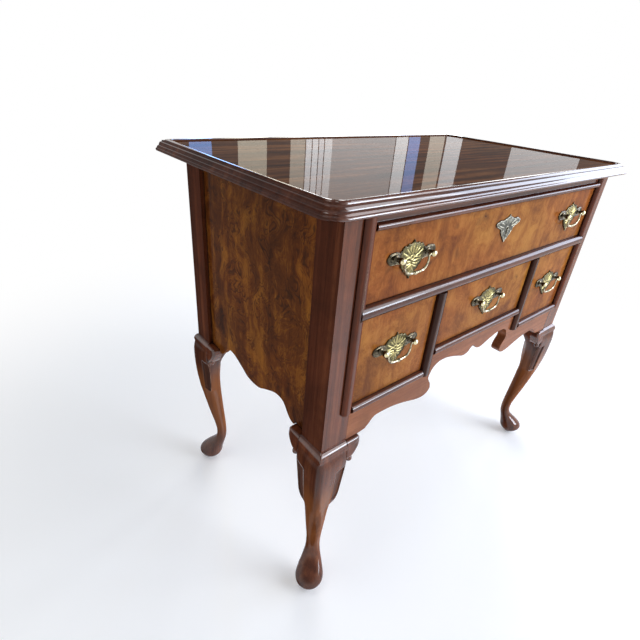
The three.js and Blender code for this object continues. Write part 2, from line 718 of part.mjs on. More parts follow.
function plateShape(width, height) {
  const runs = plateRunShares.map((run) => run.map(
    ([along, up]) => new THREE.Vector2(width / 2 * along, height / 2 * up)));
  const shape = new THREE.Shape();
  shape.moveTo(0, height / 2);
  for (const run of runs) shape.splineThru(run.slice(1));
  for (const run of [...runs].reverse()) {
    shape.splineThru([...run].reverse().slice(1).map(({ x, y }) => new THREE.Vector2(-x, y)));
  }
  return shape;
}

function plateGeometry(width, height, thickness) {
  return extruded(plateShape(width, height), thickness, 1).rotateX(Math.PI / 2).translate(0, -seat, 0);
}

// A post through the plate: ball, neck and foot in front, shank through the drawer front, nut behind
function pullPost() {
  const nutFront = frontThickness + seat;
  const profile = [
    [0, -pullProud - ballRadius],
    [ballRadius * Math.SQRT1_2, -pullProud - ballRadius * Math.SQRT1_2],
    [ballRadius, -pullProud],
    [ballRadius * Math.SQRT1_2, -pullProud + ballRadius * Math.SQRT1_2],
    [neckRadius, -pullProud + ballRadius],
    [footRadius, -seat - plateThickness - footRise],
    [footRadius, -seat],
    [shankRadius, -seat],
    [shankRadius, nutFront],
    [nutRadius, nutFront],
    [nutRadius, nutFront + nutThickness],
    [0, nutFront + nutThickness],
  ].map(([out, along]) => new THREE.Vector2(out, along));
  return new THREE.LatheGeometry(profile, roundSteps);
}

function pullPlate() {
  const plate = plateGeometry(plateWidth, plateHeight, plateThickness);
  const left = pullPost().translate(-pullSpacing / 2, 0, pullRise);
  const right = pullPost().translate(pullSpacing / 2, 0, pullRise);
  const boreRadius = wireRadius + seat;
  const boreLength = ballRadius + wireEnd;
  const bore = new THREE.CylinderGeometry(boreRadius, boreRadius, boreLength, roundSteps)
    .rotateZ(Math.PI / 2);
  const boreMiddle = pullSpacing / 2 - ballRadius + wireEnd + seat - boreLength / 2;
  return cut(joined(plate, left, right),
    bore.clone().translate(-boreMiddle, -pullProud, pullRise),
    bore.translate(boreMiddle, -pullProud, pullRise));
}

// A bail: a wire loop whose ends turn out into the balls, with a small collar at its foot.
// Shares of half the spacing and of the drop.
const bailShares = [
  [0.79, 0], [0.75, -0.1], [0.76, -0.32], [0.72, -0.6], [0.56, -0.87], [0.3, -0.97], [0.12, -0.99],
];
const collarWaistShare = 1.1; // of the wire's radius

function bail() {
  const half = bailShares.map(
    ([along, down]) => new THREE.Vector3(pullSpacing / 2 * along, 0, bailDrop * down));
  const tip = pullSpacing / 2 - ballRadius + wireEnd;
  const ends = [new THREE.Vector3(tip, 0, 0), new THREE.Vector3((tip + half[0].x) / 2, 0, 0)];
  const route = [...ends, ...half];
  const path = new THREE.CatmullRomCurve3([
    ...route, ...[...route].reverse().map(({ x, z }) => new THREE.Vector3(-x, 0, z)),
  ], false, 'centripetal');
  const section = new THREE.Shape();
  section.absarc(0, 0, wireRadius, 0, Math.PI * 2);
  const wire = new THREE.ExtrudeGeometry(section, { steps: wireSteps, curveSegments: 3, extrudePath: path });
  const collarHalf = bailCollarLength / 2;
  const collarProfile = [
    [0, -collarHalf], [wireRadius, -collarHalf], [bailCollarRadius, -collarHalf / 2],
    [wireRadius * collarWaistShare, 0],
    [bailCollarRadius, collarHalf / 2], [wireRadius, collarHalf], [0, collarHalf],
  ].map(([out, along]) => new THREE.Vector2(out, along));
  const collar = new THREE.LatheGeometry(collarProfile, roundSteps).rotateZ(Math.PI / 2)
    .translate(0, 0, half[half.length - 1].z);
  return joined(wire, collar).translate(0, -pullProud, pullRise);
}

// A keyhole: a round top with a slot below it
function keyway(height, from, to, grow) {
  const shape = new THREE.Shape();
  const radius = keyRadius + grow;
  const half = keySlot / 2 + grow;
  const meet = Math.asin(half / radius);
  shape.absarc(0, height, radius, -Math.PI / 2 + meet, Math.PI * 1.5 - meet, false);
  shape.lineTo(-half, height - keyDrop - grow);
  shape.lineTo(half, height - keyDrop - grow);
  return alongY(shape, from, to);
}

function escutcheon(height) {
  const plate = plateGeometry(escutcheonWidth, escutcheonHeight, escutcheonThickness)
    .translate(0, drawerFace, height);
  const plateFace = drawerFace - seat - escutcheonThickness;
  return cut(plate, keyway(height, plateFace - cutOverrun, drawerFace + cutOverrun, 0));
}

function lockCase(height, grow, overrun) {
  const half = lockWidth / 2 + grow;
  const top = height + lockHeight / 2 - keyDrop / 2 + grow;
  const bottom = height - lockHeight / 2 - keyDrop / 2 - grow;
  return alongY(outline([
    [-half + lockBevel, bottom], [half - lockBevel, bottom],
    [half, bottom + lockBevel], [half, top - lockBevel],
    [half - lockBevel, top], [-half + lockBevel, top],
    [-half, top - lockBevel], [-half, bottom + lockBevel],
  ]), drawerFrontBack - lockThickness - grow, drawerFrontBack + overrun);
}

const lowerTop = lowerOpeningTop;
drawer('top', { left: -postInside, right: postInside, bottom: topOpeningBottom, top: topOpeningTop },
  [-sidePullOffset, sidePullOffset], true);
drawer('centre', { left: -dividerInside, right: dividerInside, bottom: centreOpeningBottom, top: lowerTop },
  [0], false);
drawer('left', { left: -postInside, right: -dividerOutside, bottom: sideOpeningBottom, top: lowerTop },
  [-sidePullOffset], false);
drawer('right', { left: dividerOutside, right: postInside, bottom: sideOpeningBottom, top: lowerTop },
  [sidePullOffset], false);

export default lowboy;
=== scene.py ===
# Walnut lowboy: dished top, one long drawer over three short ones, bail pulls and cabriole legs.
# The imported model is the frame; this script gives it its polished, carved and cast surfaces.

import math
import bpy
from mathutils import Matrix, Vector


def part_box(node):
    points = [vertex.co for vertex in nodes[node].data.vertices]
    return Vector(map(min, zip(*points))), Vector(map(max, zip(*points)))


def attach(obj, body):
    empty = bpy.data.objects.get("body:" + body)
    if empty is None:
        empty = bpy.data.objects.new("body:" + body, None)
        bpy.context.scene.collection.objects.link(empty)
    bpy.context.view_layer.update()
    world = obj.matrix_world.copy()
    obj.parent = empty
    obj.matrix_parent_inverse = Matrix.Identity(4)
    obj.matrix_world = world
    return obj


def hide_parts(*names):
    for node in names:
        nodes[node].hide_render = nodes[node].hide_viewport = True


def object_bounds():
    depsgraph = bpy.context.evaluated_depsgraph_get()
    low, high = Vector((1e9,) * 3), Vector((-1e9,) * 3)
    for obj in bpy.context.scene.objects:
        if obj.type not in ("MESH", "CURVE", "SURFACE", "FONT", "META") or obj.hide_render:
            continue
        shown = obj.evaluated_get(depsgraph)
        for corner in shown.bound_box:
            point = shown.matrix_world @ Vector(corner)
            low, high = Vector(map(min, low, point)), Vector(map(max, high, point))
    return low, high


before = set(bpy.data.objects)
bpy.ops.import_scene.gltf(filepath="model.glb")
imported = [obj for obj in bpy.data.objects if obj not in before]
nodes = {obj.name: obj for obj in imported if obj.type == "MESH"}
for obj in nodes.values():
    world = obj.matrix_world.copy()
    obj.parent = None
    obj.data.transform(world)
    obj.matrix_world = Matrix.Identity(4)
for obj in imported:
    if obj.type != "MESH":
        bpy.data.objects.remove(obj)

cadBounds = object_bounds()
sides = ("left", "right")
drawerNames = ("top", "left", "centre", "right")
print("frame loaded with", len(nodes), "nodes")


# Small helpers for working as by hand

mergeDistance = 0.00001
perMetre = 1000  # the turned and drawn brasses are given in millimetres


def selectOnly(piece):
    if bpy.context.object and bpy.context.object.mode != "OBJECT":
        bpy.ops.object.mode_set(mode="OBJECT")
    bpy.ops.object.select_all(action="DESELECT")
    piece.select_set(True)
    bpy.context.view_layer.objects.active = piece


def editAll(piece):
    selectOnly(piece)
    bpy.ops.object.mode_set(mode="EDIT")
    bpy.ops.mesh.select_all(action="SELECT")


def editDone():
    bpy.ops.object.mode_set(mode="OBJECT")


def selectWhere(piece, kind, wanted):
    # leaves edit mode with the edges or faces selected that are wanted
    editAll(piece)
    bpy.ops.mesh.select_all(action="DESELECT")
    bpy.ops.mesh.select_mode(type=kind)
    editDone()
    for part in piece.data.edges if kind == "EDGE" else piece.data.polygons:
        part.select = wanted(part)
    bpy.ops.object.mode_set(mode="EDIT")


def edited(piece, operation, **settings):
    # one operation on the whole mesh
    editAll(piece)
    operation(**settings)
    editDone()


def settle(piece):
    # the object goes to the origin, unturned and unscaled, with its place in its mesh
    selectOnly(piece)
    bpy.ops.object.transform_apply(location=True, rotation=True, scale=True)
    return piece


def applyModifier(piece, kind, **settings):
    selectOnly(piece)
    modifier = piece.modifiers.new(kind.title(), kind)
    for name, value in settings.items():
        setattr(modifier, name, value)
    bpy.ops.object.modifier_apply(modifier=modifier.name)


def smooth(piece, degrees=40):
    selectOnly(piece)
    bpy.ops.object.shade_smooth_by_angle(angle=math.radians(degrees))


def evenNormals(piece):
    applyModifier(piece, "WEIGHTED_NORMAL", keep_sharp=True)


def linked(name, data):
    piece = bpy.data.objects.new(name, data)
    bpy.context.scene.collection.objects.link(piece)
    return piece


def copyOfNode(node):
    piece = linked("dressed_" + node, nodes[node].data.copy())
    piece.data.materials.clear()
    edited(piece, bpy.ops.mesh.remove_doubles, threshold=mergeDistance)
    return piece


def copyOfPiece(piece, name, place):
    other = linked(name, piece.data.copy())
    other.location = Vector(place)
    return settle(other)


def dissolved(piece, degrees):
    # flat faces that the frame has cut up become one again
    edited(piece, bpy.ops.mesh.dissolve_limited, angle_limit=math.radians(degrees))


def facedOut(piece, distance=None):
    # every face turned outwards, after corners nearer than the distance are merged
    if distance:
        edited(piece, bpy.ops.mesh.remove_doubles, threshold=distance)
    edited(piece, bpy.ops.mesh.normals_make_consistent, inside=False)


def stoodUp(piece, place=(0, 0, 0)):
    # turned from lying down to upright, with its face to the front
    piece.rotation_euler = (math.pi / 2, 0, 0)
    piece.location = place
    return settle(piece)


def joinedPieces(name, pieces):
    selectOnly(pieces[0])
    for piece in pieces[1:]:
        piece.select_set(True)
    bpy.ops.object.join()
    pieces[0].name = name
    pieces[0].data.name = name
    return pieces[0]


def finishPiece(piece, body, slot, material, *replaced):
    if not piece.data.materials:
        piece.data.materials.append(material)
    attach(piece, body)
    if replaced:
        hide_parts(*replaced)


# Effects that several materials share, as node groups

def newGroup(name, inputs, outputs):
    # a place and some values go in, and values come out
    group = bpy.data.node_groups.new(name, "ShaderNodeTree")
    group.interface.new_socket(name="Place", in_out="INPUT", socket_type="NodeSocketVector")
    for label, value in inputs.items():
        socket = group.interface.new_socket(
            name=label, in_out="INPUT", socket_type="NodeSocketFloat")
        socket.default_value = value
    for label in outputs:
        group.interface.new_socket(name=label, in_out="OUTPUT", socket_type="NodeSocketFloat")
    start = group.nodes.new("NodeGroupInput")
    end = group.nodes.new("NodeGroupOutput")
    return group, Wiring(group), start.outputs, end


class Wiring:
    # short ways to add nodes to one tree and join them up
    def __init__(self, tree):
        self.tree = tree

    def add(self, kind, values=None, **settings):
        node = self.tree.nodes.new(kind)
        for name, value in settings.items():
            setattr(node, name, value)
        self.give(node, values or {})
        return node

    def give(self, node, values):
        # each is a plain value, or the output of another node
        for name, value in values.items():
            if isinstance(value, bpy.types.NodeSocket):
                self.tree.links.new(value, node.inputs[name])
            else:
                node.inputs[name].default_value = value

    def math(self, operation, first, second=0.5):
        return self.add("ShaderNodeMath", {0: first, 1: second}, operation=operation).outputs[0]

    def times(self, first, second):
        return self.math("MULTIPLY", first, second)

    def plus(self, first, second):
        return self.math("ADD", first, second)

    def weighed(self, *pairs):
        # the sum of each value times its share
        parts = [self.times(value, share) for value, share in pairs]
        total = parts[0]
        for part in parts[1:]:
            total = self.plus(total, part)
        return total

    def vector(self, operation, first, second=None, scale=None):
        values = {0: first, 1: second, "Scale": scale}
        given = {name: value for name, value in values.items() if value is not None}
        return self.add("ShaderNodeVectorMath", given, operation=operation).outputs[0]

    def noise(self, place, rate, detail=2.0, roughness=0.5, distortion=0.0):
        # a rate for each axis stretches it
        if isinstance(rate, tuple):
            place, rate = self.vector("MULTIPLY", place, rate), 1.0
        return self.add("ShaderNodeTexNoise", {
            "Vector": place, "Scale": rate, "Detail": detail,
            "Roughness": roughness, "Distortion": distortion}).outputs

    def bent(self, place, noise, reach):
        # the place, moved by the noise's colours
        middle = self.vector("SUBTRACT", noise["Color"], (0.5, 0.5, 0.5))
        return self.vector("ADD", place, self.vector("SCALE", middle, scale=reach))

    def span(self, value, low, high, newLow=0.0, newHigh=1.0):
        return self.add("ShaderNodeMapRange", {
            "Value": value, "From Min": low, "From Max": high,
            "To Min": newLow, "To Max": newHigh}, interpolation_type="SMOOTHSTEP").outputs[0]

    def mix(self, share, first, second, blend="MIX"):
        return self.add("ShaderNodeMix", {0: share, 6: first, 7: second},
                        data_type="RGBA", blend_type=blend).outputs[2]

    def stain(self, colour, tint, mask, share):
        # the tint lies over the colour where the mask is, up to that share
        return self.mix(self.times(mask, share), colour, (*tint, 1))

    def ramp(self, value, places, colours):
        node = self.add("ShaderNodeValToRGB", {"Fac": value})
        band = node.color_ramp
        while len(band.elements) < len(places):
            band.elements.new(0.5)
        for element, place, colour in zip(band.elements, places, colours):
            element.position = place
            element.color = (*colour, 1)
        return node.outputs[0]

    def bump(self, shader, height, strength, depth):
        values = {"Height": height, "Strength": strength, "Distance": depth}
        self.give(shader, {"Normal": self.add("ShaderNodeBump", values).outputs[0]})

    def occluded(self, reach, **settings):
        return self.add("ShaderNodeAmbientOcclusion", {"Distance": reach}, **settings).outputs["AO"]

    def blended(self, share, first, second):
        return self.add("ShaderNodeMixShader", {0: share, 1: first, 2: second}).outputs[0]

    def group(self, group, **values):
        return self.add("ShaderNodeGroup", values, node_tree=group).outputs

    def rays(self):
        # the camera's own rays, and those that what shines sends on
        path = self.add("ShaderNodeLightPath").outputs
        mirrored = self.math("MAXIMUM", path["Is Glossy Ray"], path["Is Transmission Ray"])
        return path["Is Camera Ray"], mirrored


# each noise: how often it repeats in a metre, its detail, roughness and distortion; where it has
# three rates, the last is the one along the fibres
grainLook = {
    "drift": ((7, 7, 2.2), 1.5), "fibre": ((520, 520, 11), 3.0, 0.6),
    "streak": ((70, 70, 1.6), 3.0, 0.55), "pores": ((1500, 1500, 60), 1.0),
    "poreEdges": (0.6, 0.72), "fibreRelief": 0.35, "waver": 0.004,
}
# here the rates are those in one figure of the veneer
burlLook = {
    "twist": (0.9, 2.0), "drift": (0.35, 2.0), "cloud": (1.9, 5.0, 0.6, 0.3),
    "contour": (1.5, 3.0), "breaks": (2.6, 2.0), "fleck": ((42, 42, 7), 4.0, 0.7), "waves": 150.0,
    "waveEdges": (0.2, 1.0), "breakEdges": (0.38, 0.62), "knotRate": 1.7,
    "ringEdges": (0.2, 0.05), "ringShare": 0.45, "coreEdges": (0.055, 0.025), "coreShare": 0.55,
    "relief": 0.5,
}
handlingAndShadeLook = {
    "patches": (42.0, 3.0, 0.6), "smears": (9.0, 4.0, 0.6, 0.6), "samples": 6, "reach": 0.006,
    "edge": 0.0016, "hollowEdges": (0.68, 0.12), "patchShare": 0.35, "arrisEdges": (0.62, 0.3),
    "patchEdges": (0.4, 0.62),
}


def straightGrain():
    # fibres along the third axis of the place that it is given, in metres
    group, w, given, end = newGroup("straightGrain", {"Waver": grainLook["waver"]},
                                    ["Fibre", "Streak", "Pores", "Height"])
    bent = w.bent(given["Place"], w.noise(given["Place"], *grainLook["drift"]), given["Waver"])
    fibre, streak, holes = (
        w.noise(bent, *grainLook[name])[0] for name in ("fibre", "streak", "pores"))
    pores = w.span(holes, *grainLook["poreEdges"])
    height = w.math("SUBTRACT", w.times(fibre, grainLook["fibreRelief"]), pores)
    w.give(end, {"Fibre": fibre, "Streak": streak, "Pores": pores, "Height": height})
    return group


def burlFigure():
    # clouds, swirling lines and small knots of a figured veneer
    group, w, given, end = newGroup(
        "burlFigure", {"Size": 0.1, "Swirl": 0.8, "Knots": 0.5, "Upright": 0.4},
        ["Cloud", "Lines", "Drift", "Fleck", "Knot", "Height"])
    look = burlLook
    unit = w.vector("SCALE", given["Place"], scale=w.math("DIVIDE", 1.0, given["Size"]))
    bent = w.bent(unit, w.noise(unit, *look["twist"]), given["Swirl"])
    rates = {"X": 1.0, "Y": 1.0, "Z": given["Upright"]}
    upright = w.vector("MULTIPLY", bent, w.add("ShaderNodeCombineXYZ", rates).outputs[0])
    drift = w.noise(unit, *look["drift"])[0]
    cloud = w.noise(upright, *look["cloud"])[0]
    wave = w.math("SINE", w.times(w.noise(upright, *look["contour"])[0], look["waves"]))
    breaks = w.span(w.noise(bent, *look["breaks"])[0], *look["breakEdges"])
    lines = w.times(w.span(wave, *look["waveEdges"]), breaks)
    fleck = w.noise(bent, *look["fleck"])[0]
    spots = w.add("ShaderNodeTexVoronoi", {"Vector": bent, "Scale": look["knotRate"]}).outputs
    number = w.add("ShaderNodeSeparateColor", {"Color": spots["Color"]}).outputs[0]
    chosen = w.math("LESS_THAN", number, given["Knots"])
    ring = w.times(w.span(spots["Distance"], *look["ringEdges"]), look["ringShare"])
    core = w.span(spots["Distance"], *look["coreEdges"], 0, look["coreShare"])
    knot = w.times(w.plus(ring, core), chosen)
    height = w.math("SUBTRACT", w.times(fleck, look["relief"]), w.times(knot, look["relief"]))
    w.give(end, {"Cloud": cloud, "Lines": lines, "Drift": drift, "Fleck": fleck, "Knot": knot,
                 "Height": height})
    return group


def handlingAndShade():
    # worn arrises, and darkening in corners and hollows: painted shade, as well as old polish
    # gathered there
    look = handlingAndShadeLook
    group, w, given, end = newGroup("handlingAndShade", {"Reach": look["reach"], "Edge": look["edge"]},
                                    ["Worn", "GrimeAndShade", "Smears"])
    patchy = w.noise(given["Place"], *look["patches"])[0]
    hollow = w.occluded(given["Reach"], samples=look["samples"])
    clear = w.math("SUBTRACT", hollow, w.times(patchy, look["patchShare"]))
    arris = w.occluded(given["Edge"], samples=look["samples"], inside=True, only_local=True)
    worn = w.times(w.span(arris, *look["arrisEdges"]), w.span(patchy, *look["patchEdges"]))
    w.give(end, {"Worn": worn, "GrimeAndShade": w.span(clear, *look["hollowEdges"]),
                 "Smears": w.noise(given["Place"], *look["smears"])[0]})
    return group


grainGroup = straightGrain()
burlGroup = burlFigure()
handlingAndShadeGroup = handlingAndShade()
print("shared effects built")


# Finishes

def newMaterial(name):
    material = bpy.data.materials.new(name)
    material.use_nodes = True
    material.node_tree.nodes.clear()
    w = Wiring(material.node_tree)
    shader = w.add("ShaderNodeBsdfPrincipled")
    w.add("ShaderNodeOutputMaterial", {"Surface": shader.outputs[0]})
    return material, w, shader


def placeAlong(w, axis, centre=(0, 0, 0)):
    # object coordinates, turned so that the grain of the piece runs along the third axis
    coordinates = w.add("ShaderNodeTexCoord").outputs["Object"]
    turns = {"x": (0, math.pi / 2, 0), "y": (math.pi / 2, 0, 0), "z": (0, 0, 0)}
    mapping = w.add("ShaderNodeMapping", {
        "Vector": coordinates, "Location": centre, "Rotation": turns[axis]})
    return coordinates, mapping.outputs[0]


def grainColour(w, look, grain, wearAndShade):
    # streaks and fibres from dark to light, open pores, and patches that handling has darkened
    tone = w.weighed((grain["Streak"], look["streakShare"]), (grain["Fibre"], look["fibreShare"]))
    colour = w.ramp(tone, look["toneStops"], (look["dark"], look["middle"], look["light"]))
    colour = w.stain(colour, look["pore"], grain["Pores"], look["poreShare"])
    patches = w.span(wearAndShade["Smears"], *look["smearEdges"], 0, look["patchy"])
    return w.mix(patches, colour, (*look["dark"], 1))


def smearedRough(w, look, wearAndShade):
    most = look["rough"] + look["roughMore"]
    return w.span(wearAndShade["Smears"], *look["roughEdges"], look["rough"], most)


def rubbedShin(w, look, grain, coordinates, colour):
    # the shin is rubbed lighter than the knee and the foot, and has lost most of its polish
    foot, low, high, knee = look["rubbedHeights"]
    height = w.add("ShaderNodeSeparateXYZ", {"Vector": coordinates}).outputs["Z"]
    bare = w.times(w.span(height, foot, low), w.span(height, knee, high))
    bare = w.times(bare, w.span(grain["Streak"], *look["rubbedStreaks"]))
    kept = w.plus(w.span(height, foot, low, 1.0, look["rubbedPolish"]),
                  w.span(height, high, knee, 0.0, look["kneePolish"]))
    return w.stain(colour, look["rubbed"], bare, look["rubbedShare"]), kept


def solidWalnut(name, look, axis):
    material, w, shader = newMaterial(name)
    coordinates, place = placeAlong(w, axis)
    grain = w.group(grainGroup, Place=place, Waver=look["waver"])
    wearAndShade = w.group(handlingAndShadeGroup, Place=coordinates, Reach=look["reach"], Edge=look["edge"])
    colour, kept = grainColour(w, look, grain, wearAndShade), None
    if "rubbed" in look:
        colour, kept = rubbedShin(w, look, grain, coordinates, colour)
    # painted shade in corners and hollows, with old polish, in the pore colour
    colour = w.stain(colour, look["pore"], wearAndShade["GrimeAndShade"], look["grimeAndShade"])
    colour = w.stain(colour, look["bare"], wearAndShade["Worn"], look["worn"])
    rough = w.plus(smearedRough(w, look, wearAndShade), w.times(wearAndShade["Worn"], look["wornRough"]))
    w.give(shader, {"Base Color": colour, "Roughness": rough})
    polish(w, shader, grain["Height"], look, kept)
    return material


polishLook = {"bumpDepth": 0.0002, "flatEdges": (0.97, 0.995)}


def polish(w, shader, height, look, kept=None):
    # french polish: a clear coat, kept up on the front and top and dulled by handling at the ends
    w.bump(shader, height, look["relief"], polishLook["bumpDepth"])
    w.give(shader, {"Specular IOR Level": 0.0, "Coat Roughness": look["coatRough"],
                    "Coat IOR": look["coatIor"]})
    if look["coat"] == look["coatEnds"] == look["coatFront"]:
        w.give(shader, {"Coat Weight": look["coat"]})
        return
    normal = w.add("ShaderNodeTexCoord").outputs["Normal"]
    facing = w.add("ShaderNodeSeparateXYZ", {"Vector": normal})
    sideways, forwards = (w.math("ABSOLUTE", facing.outputs[axis]) for axis in ("X", "Y"))
    coat = w.span(sideways, *look["endRange"], look["coat"], look["coatEnds"])
    if kept:
        coat = w.times(coat, kept)
    flatFront = w.span(forwards, *polishLook["flatEdges"])
    values = {0: flatFront, 2: coat, 3: look["coatFront"]}
    w.give(shader, {"Coat Weight": w.add("ShaderNodeMix", values, data_type="FLOAT").outputs[0]})


def figuredWalnut(name, look, axis):
    material, w, shader = newMaterial(name)
    coordinates, place = placeAlong(w, axis, look["offset"])
    figure = w.group(burlGroup, Place=place, Size=look["size"], Swirl=look["swirl"],
                     Knots=look["knots"], Upright=look["upright"])
    grain = w.group(grainGroup, Place=place, Waver=look["waver"])
    wearAndShade = w.group(handlingAndShadeGroup, Place=coordinates, Reach=look["reach"])
    tone = w.weighed((figure["Cloud"], look["cloudShare"]), (grain["Streak"], look["streakShare"]),
                     (figure["Fleck"], look["fleckShare"]))
    colour = w.ramp(tone, look["toneStops"], look["tones"])
    redder = w.span(figure["Drift"], *look["driftEdges"], 0, look["drift"])
    colour = w.mix(redder, colour, (*look["redder"], 1), "MULTIPLY")
    # among these, the darkening in corners and hollows is painted shade as well as old polish
    for tint, mask, share in (
            ("line", figure["Lines"], "lines"), ("line", grain["Pores"], "poreShare"),
            ("knot", figure["Knot"], "knotShare"), ("line", wearAndShade["GrimeAndShade"], "grimeAndShade"),
            ("bare", wearAndShade["Worn"], "worn")):
        colour = w.stain(colour, look[tint], mask, look[share])
    w.give(shader, {"Base Color": colour, "Roughness": smearedRough(w, look, wearAndShade)})
    polish(w, shader, w.plus(figure["Height"], grain["Height"]), look)
    return material


darkLook = {
    "dark": (0.058, 0.015, 0.007), "middle": (0.145, 0.037, 0.015), "light": (0.26, 0.079, 0.031),
    "pore": (0.016, 0.007, 0.005), "bare": (0.6, 0.36, 0.22), "waver": 0.012, "patchy": 0.6,
    "reach": 0.008, "edge": 0.0013, "grimeAndShade": 0.9, "worn": 0.3, "rough": 0.36, "relief": 0.2,
    "streakShare": 0.7, "fibreShare": 0.3, "toneStops": (0.3, 0.5, 0.7), "poreShare": 0.5,
    "smearEdges": (0.35, 0.7), "roughEdges": (0.3, 0.7), "roughMore": 0.12, "wornRough": 0.25,
    "coat": 0.9, "coatEnds": 0.04, "coatFront": 0.6, "coatRough": 0.08, "coatIor": 1.8,
    "endRange": (0.93, 0.99),
}
# the dividers and the wings of the knees are painted darker as shade, and have little polish
dullShadedLook = dict(
    darkLook, dark=(0.024, 0.009, 0.006), middle=(0.06, 0.02, 0.011), light=(0.12, 0.042, 0.022),
    coat=0.16, coatRough=0.16, patchy=0.4)
# the knee wings: the same painted shade, a little lighter
shadedWingLook = dict(
    dullShadedLook, dark=(0.036, 0.012, 0.007), middle=(0.095, 0.03, 0.015), light=(0.17, 0.058, 0.028))
# the underside of the top takes these dark colours too, with no polish
underLook = dict(dullShadedLook, coat=0.03, coatEnds=0.03, coatFront=0.03, rough=0.6)
stileLook = dict(
    darkLook, dark=(0.06, 0.015, 0.007), middle=(0.15, 0.038, 0.016), light=(0.27, 0.076, 0.032),
    coat=0.2, coatRough=0.14, worn=0.8)
railLook = dict(
    darkLook, dark=(0.042, 0.012, 0.007), middle=(0.105, 0.03, 0.015), light=(0.19, 0.062, 0.03),
    coat=0.6, coatRough=0.13)
# the top's moulding: its stronger darkening in the coves is painted shade, and its paler arrises
# are painted highlight as well as wear
mouldLook = dict(
    darkLook, dark=(0.04, 0.012, 0.007), middle=(0.105, 0.031, 0.016), light=(0.19, 0.062, 0.03),
    reach=0.014, edge=0.003, worn=0.7, grimeAndShade=1.0, coatEnds=0.16, endRange=(0.3, 0.7))
legFinishLook = dict(
    darkLook, dark=(0.048, 0.013, 0.006), middle=(0.12, 0.031, 0.012), light=(0.22, 0.068, 0.026),
    rubbed=(0.27, 0.088, 0.026), rubbedShare=0.8, rubbedPolish=0.3, kneePolish=0.5,
    rubbedHeights=(0.05, 0.12, 0.25, 0.31), rubbedStreaks=(0.3, 0.6, 0.5, 1.0), coat=0.55,
    coatRough=0.07)
apronLook = dict(
    darkLook, dark=(0.15, 0.048, 0.02), middle=(0.27, 0.092, 0.038), light=(0.37, 0.14, 0.06),
    pore=(0.045, 0.017, 0.01), coat=0.5, coatFront=0.5, coatRough=0.14, coatIor=1.5)
sideLook = {
    "offset": (0.0, 0.0, 0.0), "size": 0.1, "swirl": 1.4, "knots": 0.3, "upright": 0.5,
    "waver": 0.03, "reach": 0.02, "cloudShare": 0.56, "streakShare": 0.2, "fleckShare": 0.24,
    "toneStops": (0.38, 0.49, 0.61),
    "tones": ((0.07, 0.018, 0.005), (0.18, 0.05, 0.009), (0.42, 0.15, 0.02)), "poreShare": 0.35,
    "knotShare": 0.7, "driftEdges": (0.4, 0.62), "roughEdges": (0.3, 0.7), "roughMore": 0.1,
    "line": (0.035, 0.012, 0.006), "lines": 0.66, "knot": (0.02, 0.008, 0.005),
    "bare": (0.5, 0.28, 0.14), "drift": 0.6, "redder": (0.9, 0.7, 0.65), "grimeAndShade": 0.9,
    "worn": 0.2, "rough": 0.36, "relief": 0.15, "coat": 0.1, "coatEnds": 0.1, "coatFront": 0.1,
    "coatRough": 0.12, "coatIor": 1.5, "endRange": (0.93, 0.99),
}
frontLook = dict(
    sideLook, offset=(0.3, 0.1, 0.2), size=0.085, swirl=1.3, knots=0.34, upright=0.9, reach=0.026,
    cloudShare=0.54, streakShare=0.2, fleckShare=0.26, lines=0.16, toneStops=(0.36, 0.48, 0.6),
    tones=((0.135, 0.04, 0.01), (0.265, 0.09, 0.017), (0.39, 0.158, 0.031)),
    line=(0.05, 0.018, 0.009), knot=(0.03, 0.015, 0.01), drift=0.75, redder=(0.95, 0.74, 0.9),
    coat=0.4, coatEnds=0.2, coatFront=0.3)
topLook = dict(
    sideLook, offset=(0.1, 0.7, 0.0), size=0.16, swirl=0.5, knots=0.06, waver=0.05, reach=0.01,
    cloudShare=0.3, streakShare=0.55, fleckShare=0.15, lines=0.25, toneStops=(0.38, 0.5, 0.62),
    tones=((0.03, 0.009, 0.003), (0.08, 0.027, 0.009), (0.18, 0.07, 0.022)),
    line=(0.02, 0.008, 0.005), rough=0.3, relief=0.05, coat=0.1, coatEnds=0.1, coatFront=0.1,
    coatRough=0.015)

darkUpright = solidWalnut("darkWalnutUpright", darkLook, "z")
railFinish = solidWalnut("railWalnut", railLook, "x")
dullShadedUpright = solidWalnut("dullShadedWalnutUpright", dullShadedLook, "z")
shadedWingFinish = solidWalnut("shadedWingWalnut", shadedWingLook, "z")
underFinish = solidWalnut("underTopWalnut", underLook, "x")
stileFinish = solidWalnut("stileWalnut", stileLook, "z")
mouldFinish = solidWalnut("topMouldingWalnut", mouldLook, "x")
legFinish = solidWalnut("legWalnut", legFinishLook, "z")
apronFinish = solidWalnut("apronWalnut", apronLook, "x")
sideFinish = figuredWalnut("sideVeneer", sideLook, "z")
frontFinish = figuredWalnut("drawerVeneer", frontLook, "z")
topFinish = figuredWalnut("topVeneer", topLook, "x")


plainLook = {
    "dark": (0.19, 0.1, 0.045), "middle": (0.36, 0.21, 0.1), "light": (0.5, 0.32, 0.17),
    "pore": (0.12, 0.065, 0.03), "dust": (0.3, 0.24, 0.18), "dusty": 0.35, "waver": 0.03,
    "reach": 0.03, "streakShare": 0.65, "fibreShare": 0.35, "toneStops": (0.32, 0.5, 0.68),
    "poreShare": 0.5, "smearEdges": (0.4, 0.75), "patchy": 0.45, "rough": 0.66, "relief": 0.5,
    "bumpDepth": 0.0003,
}


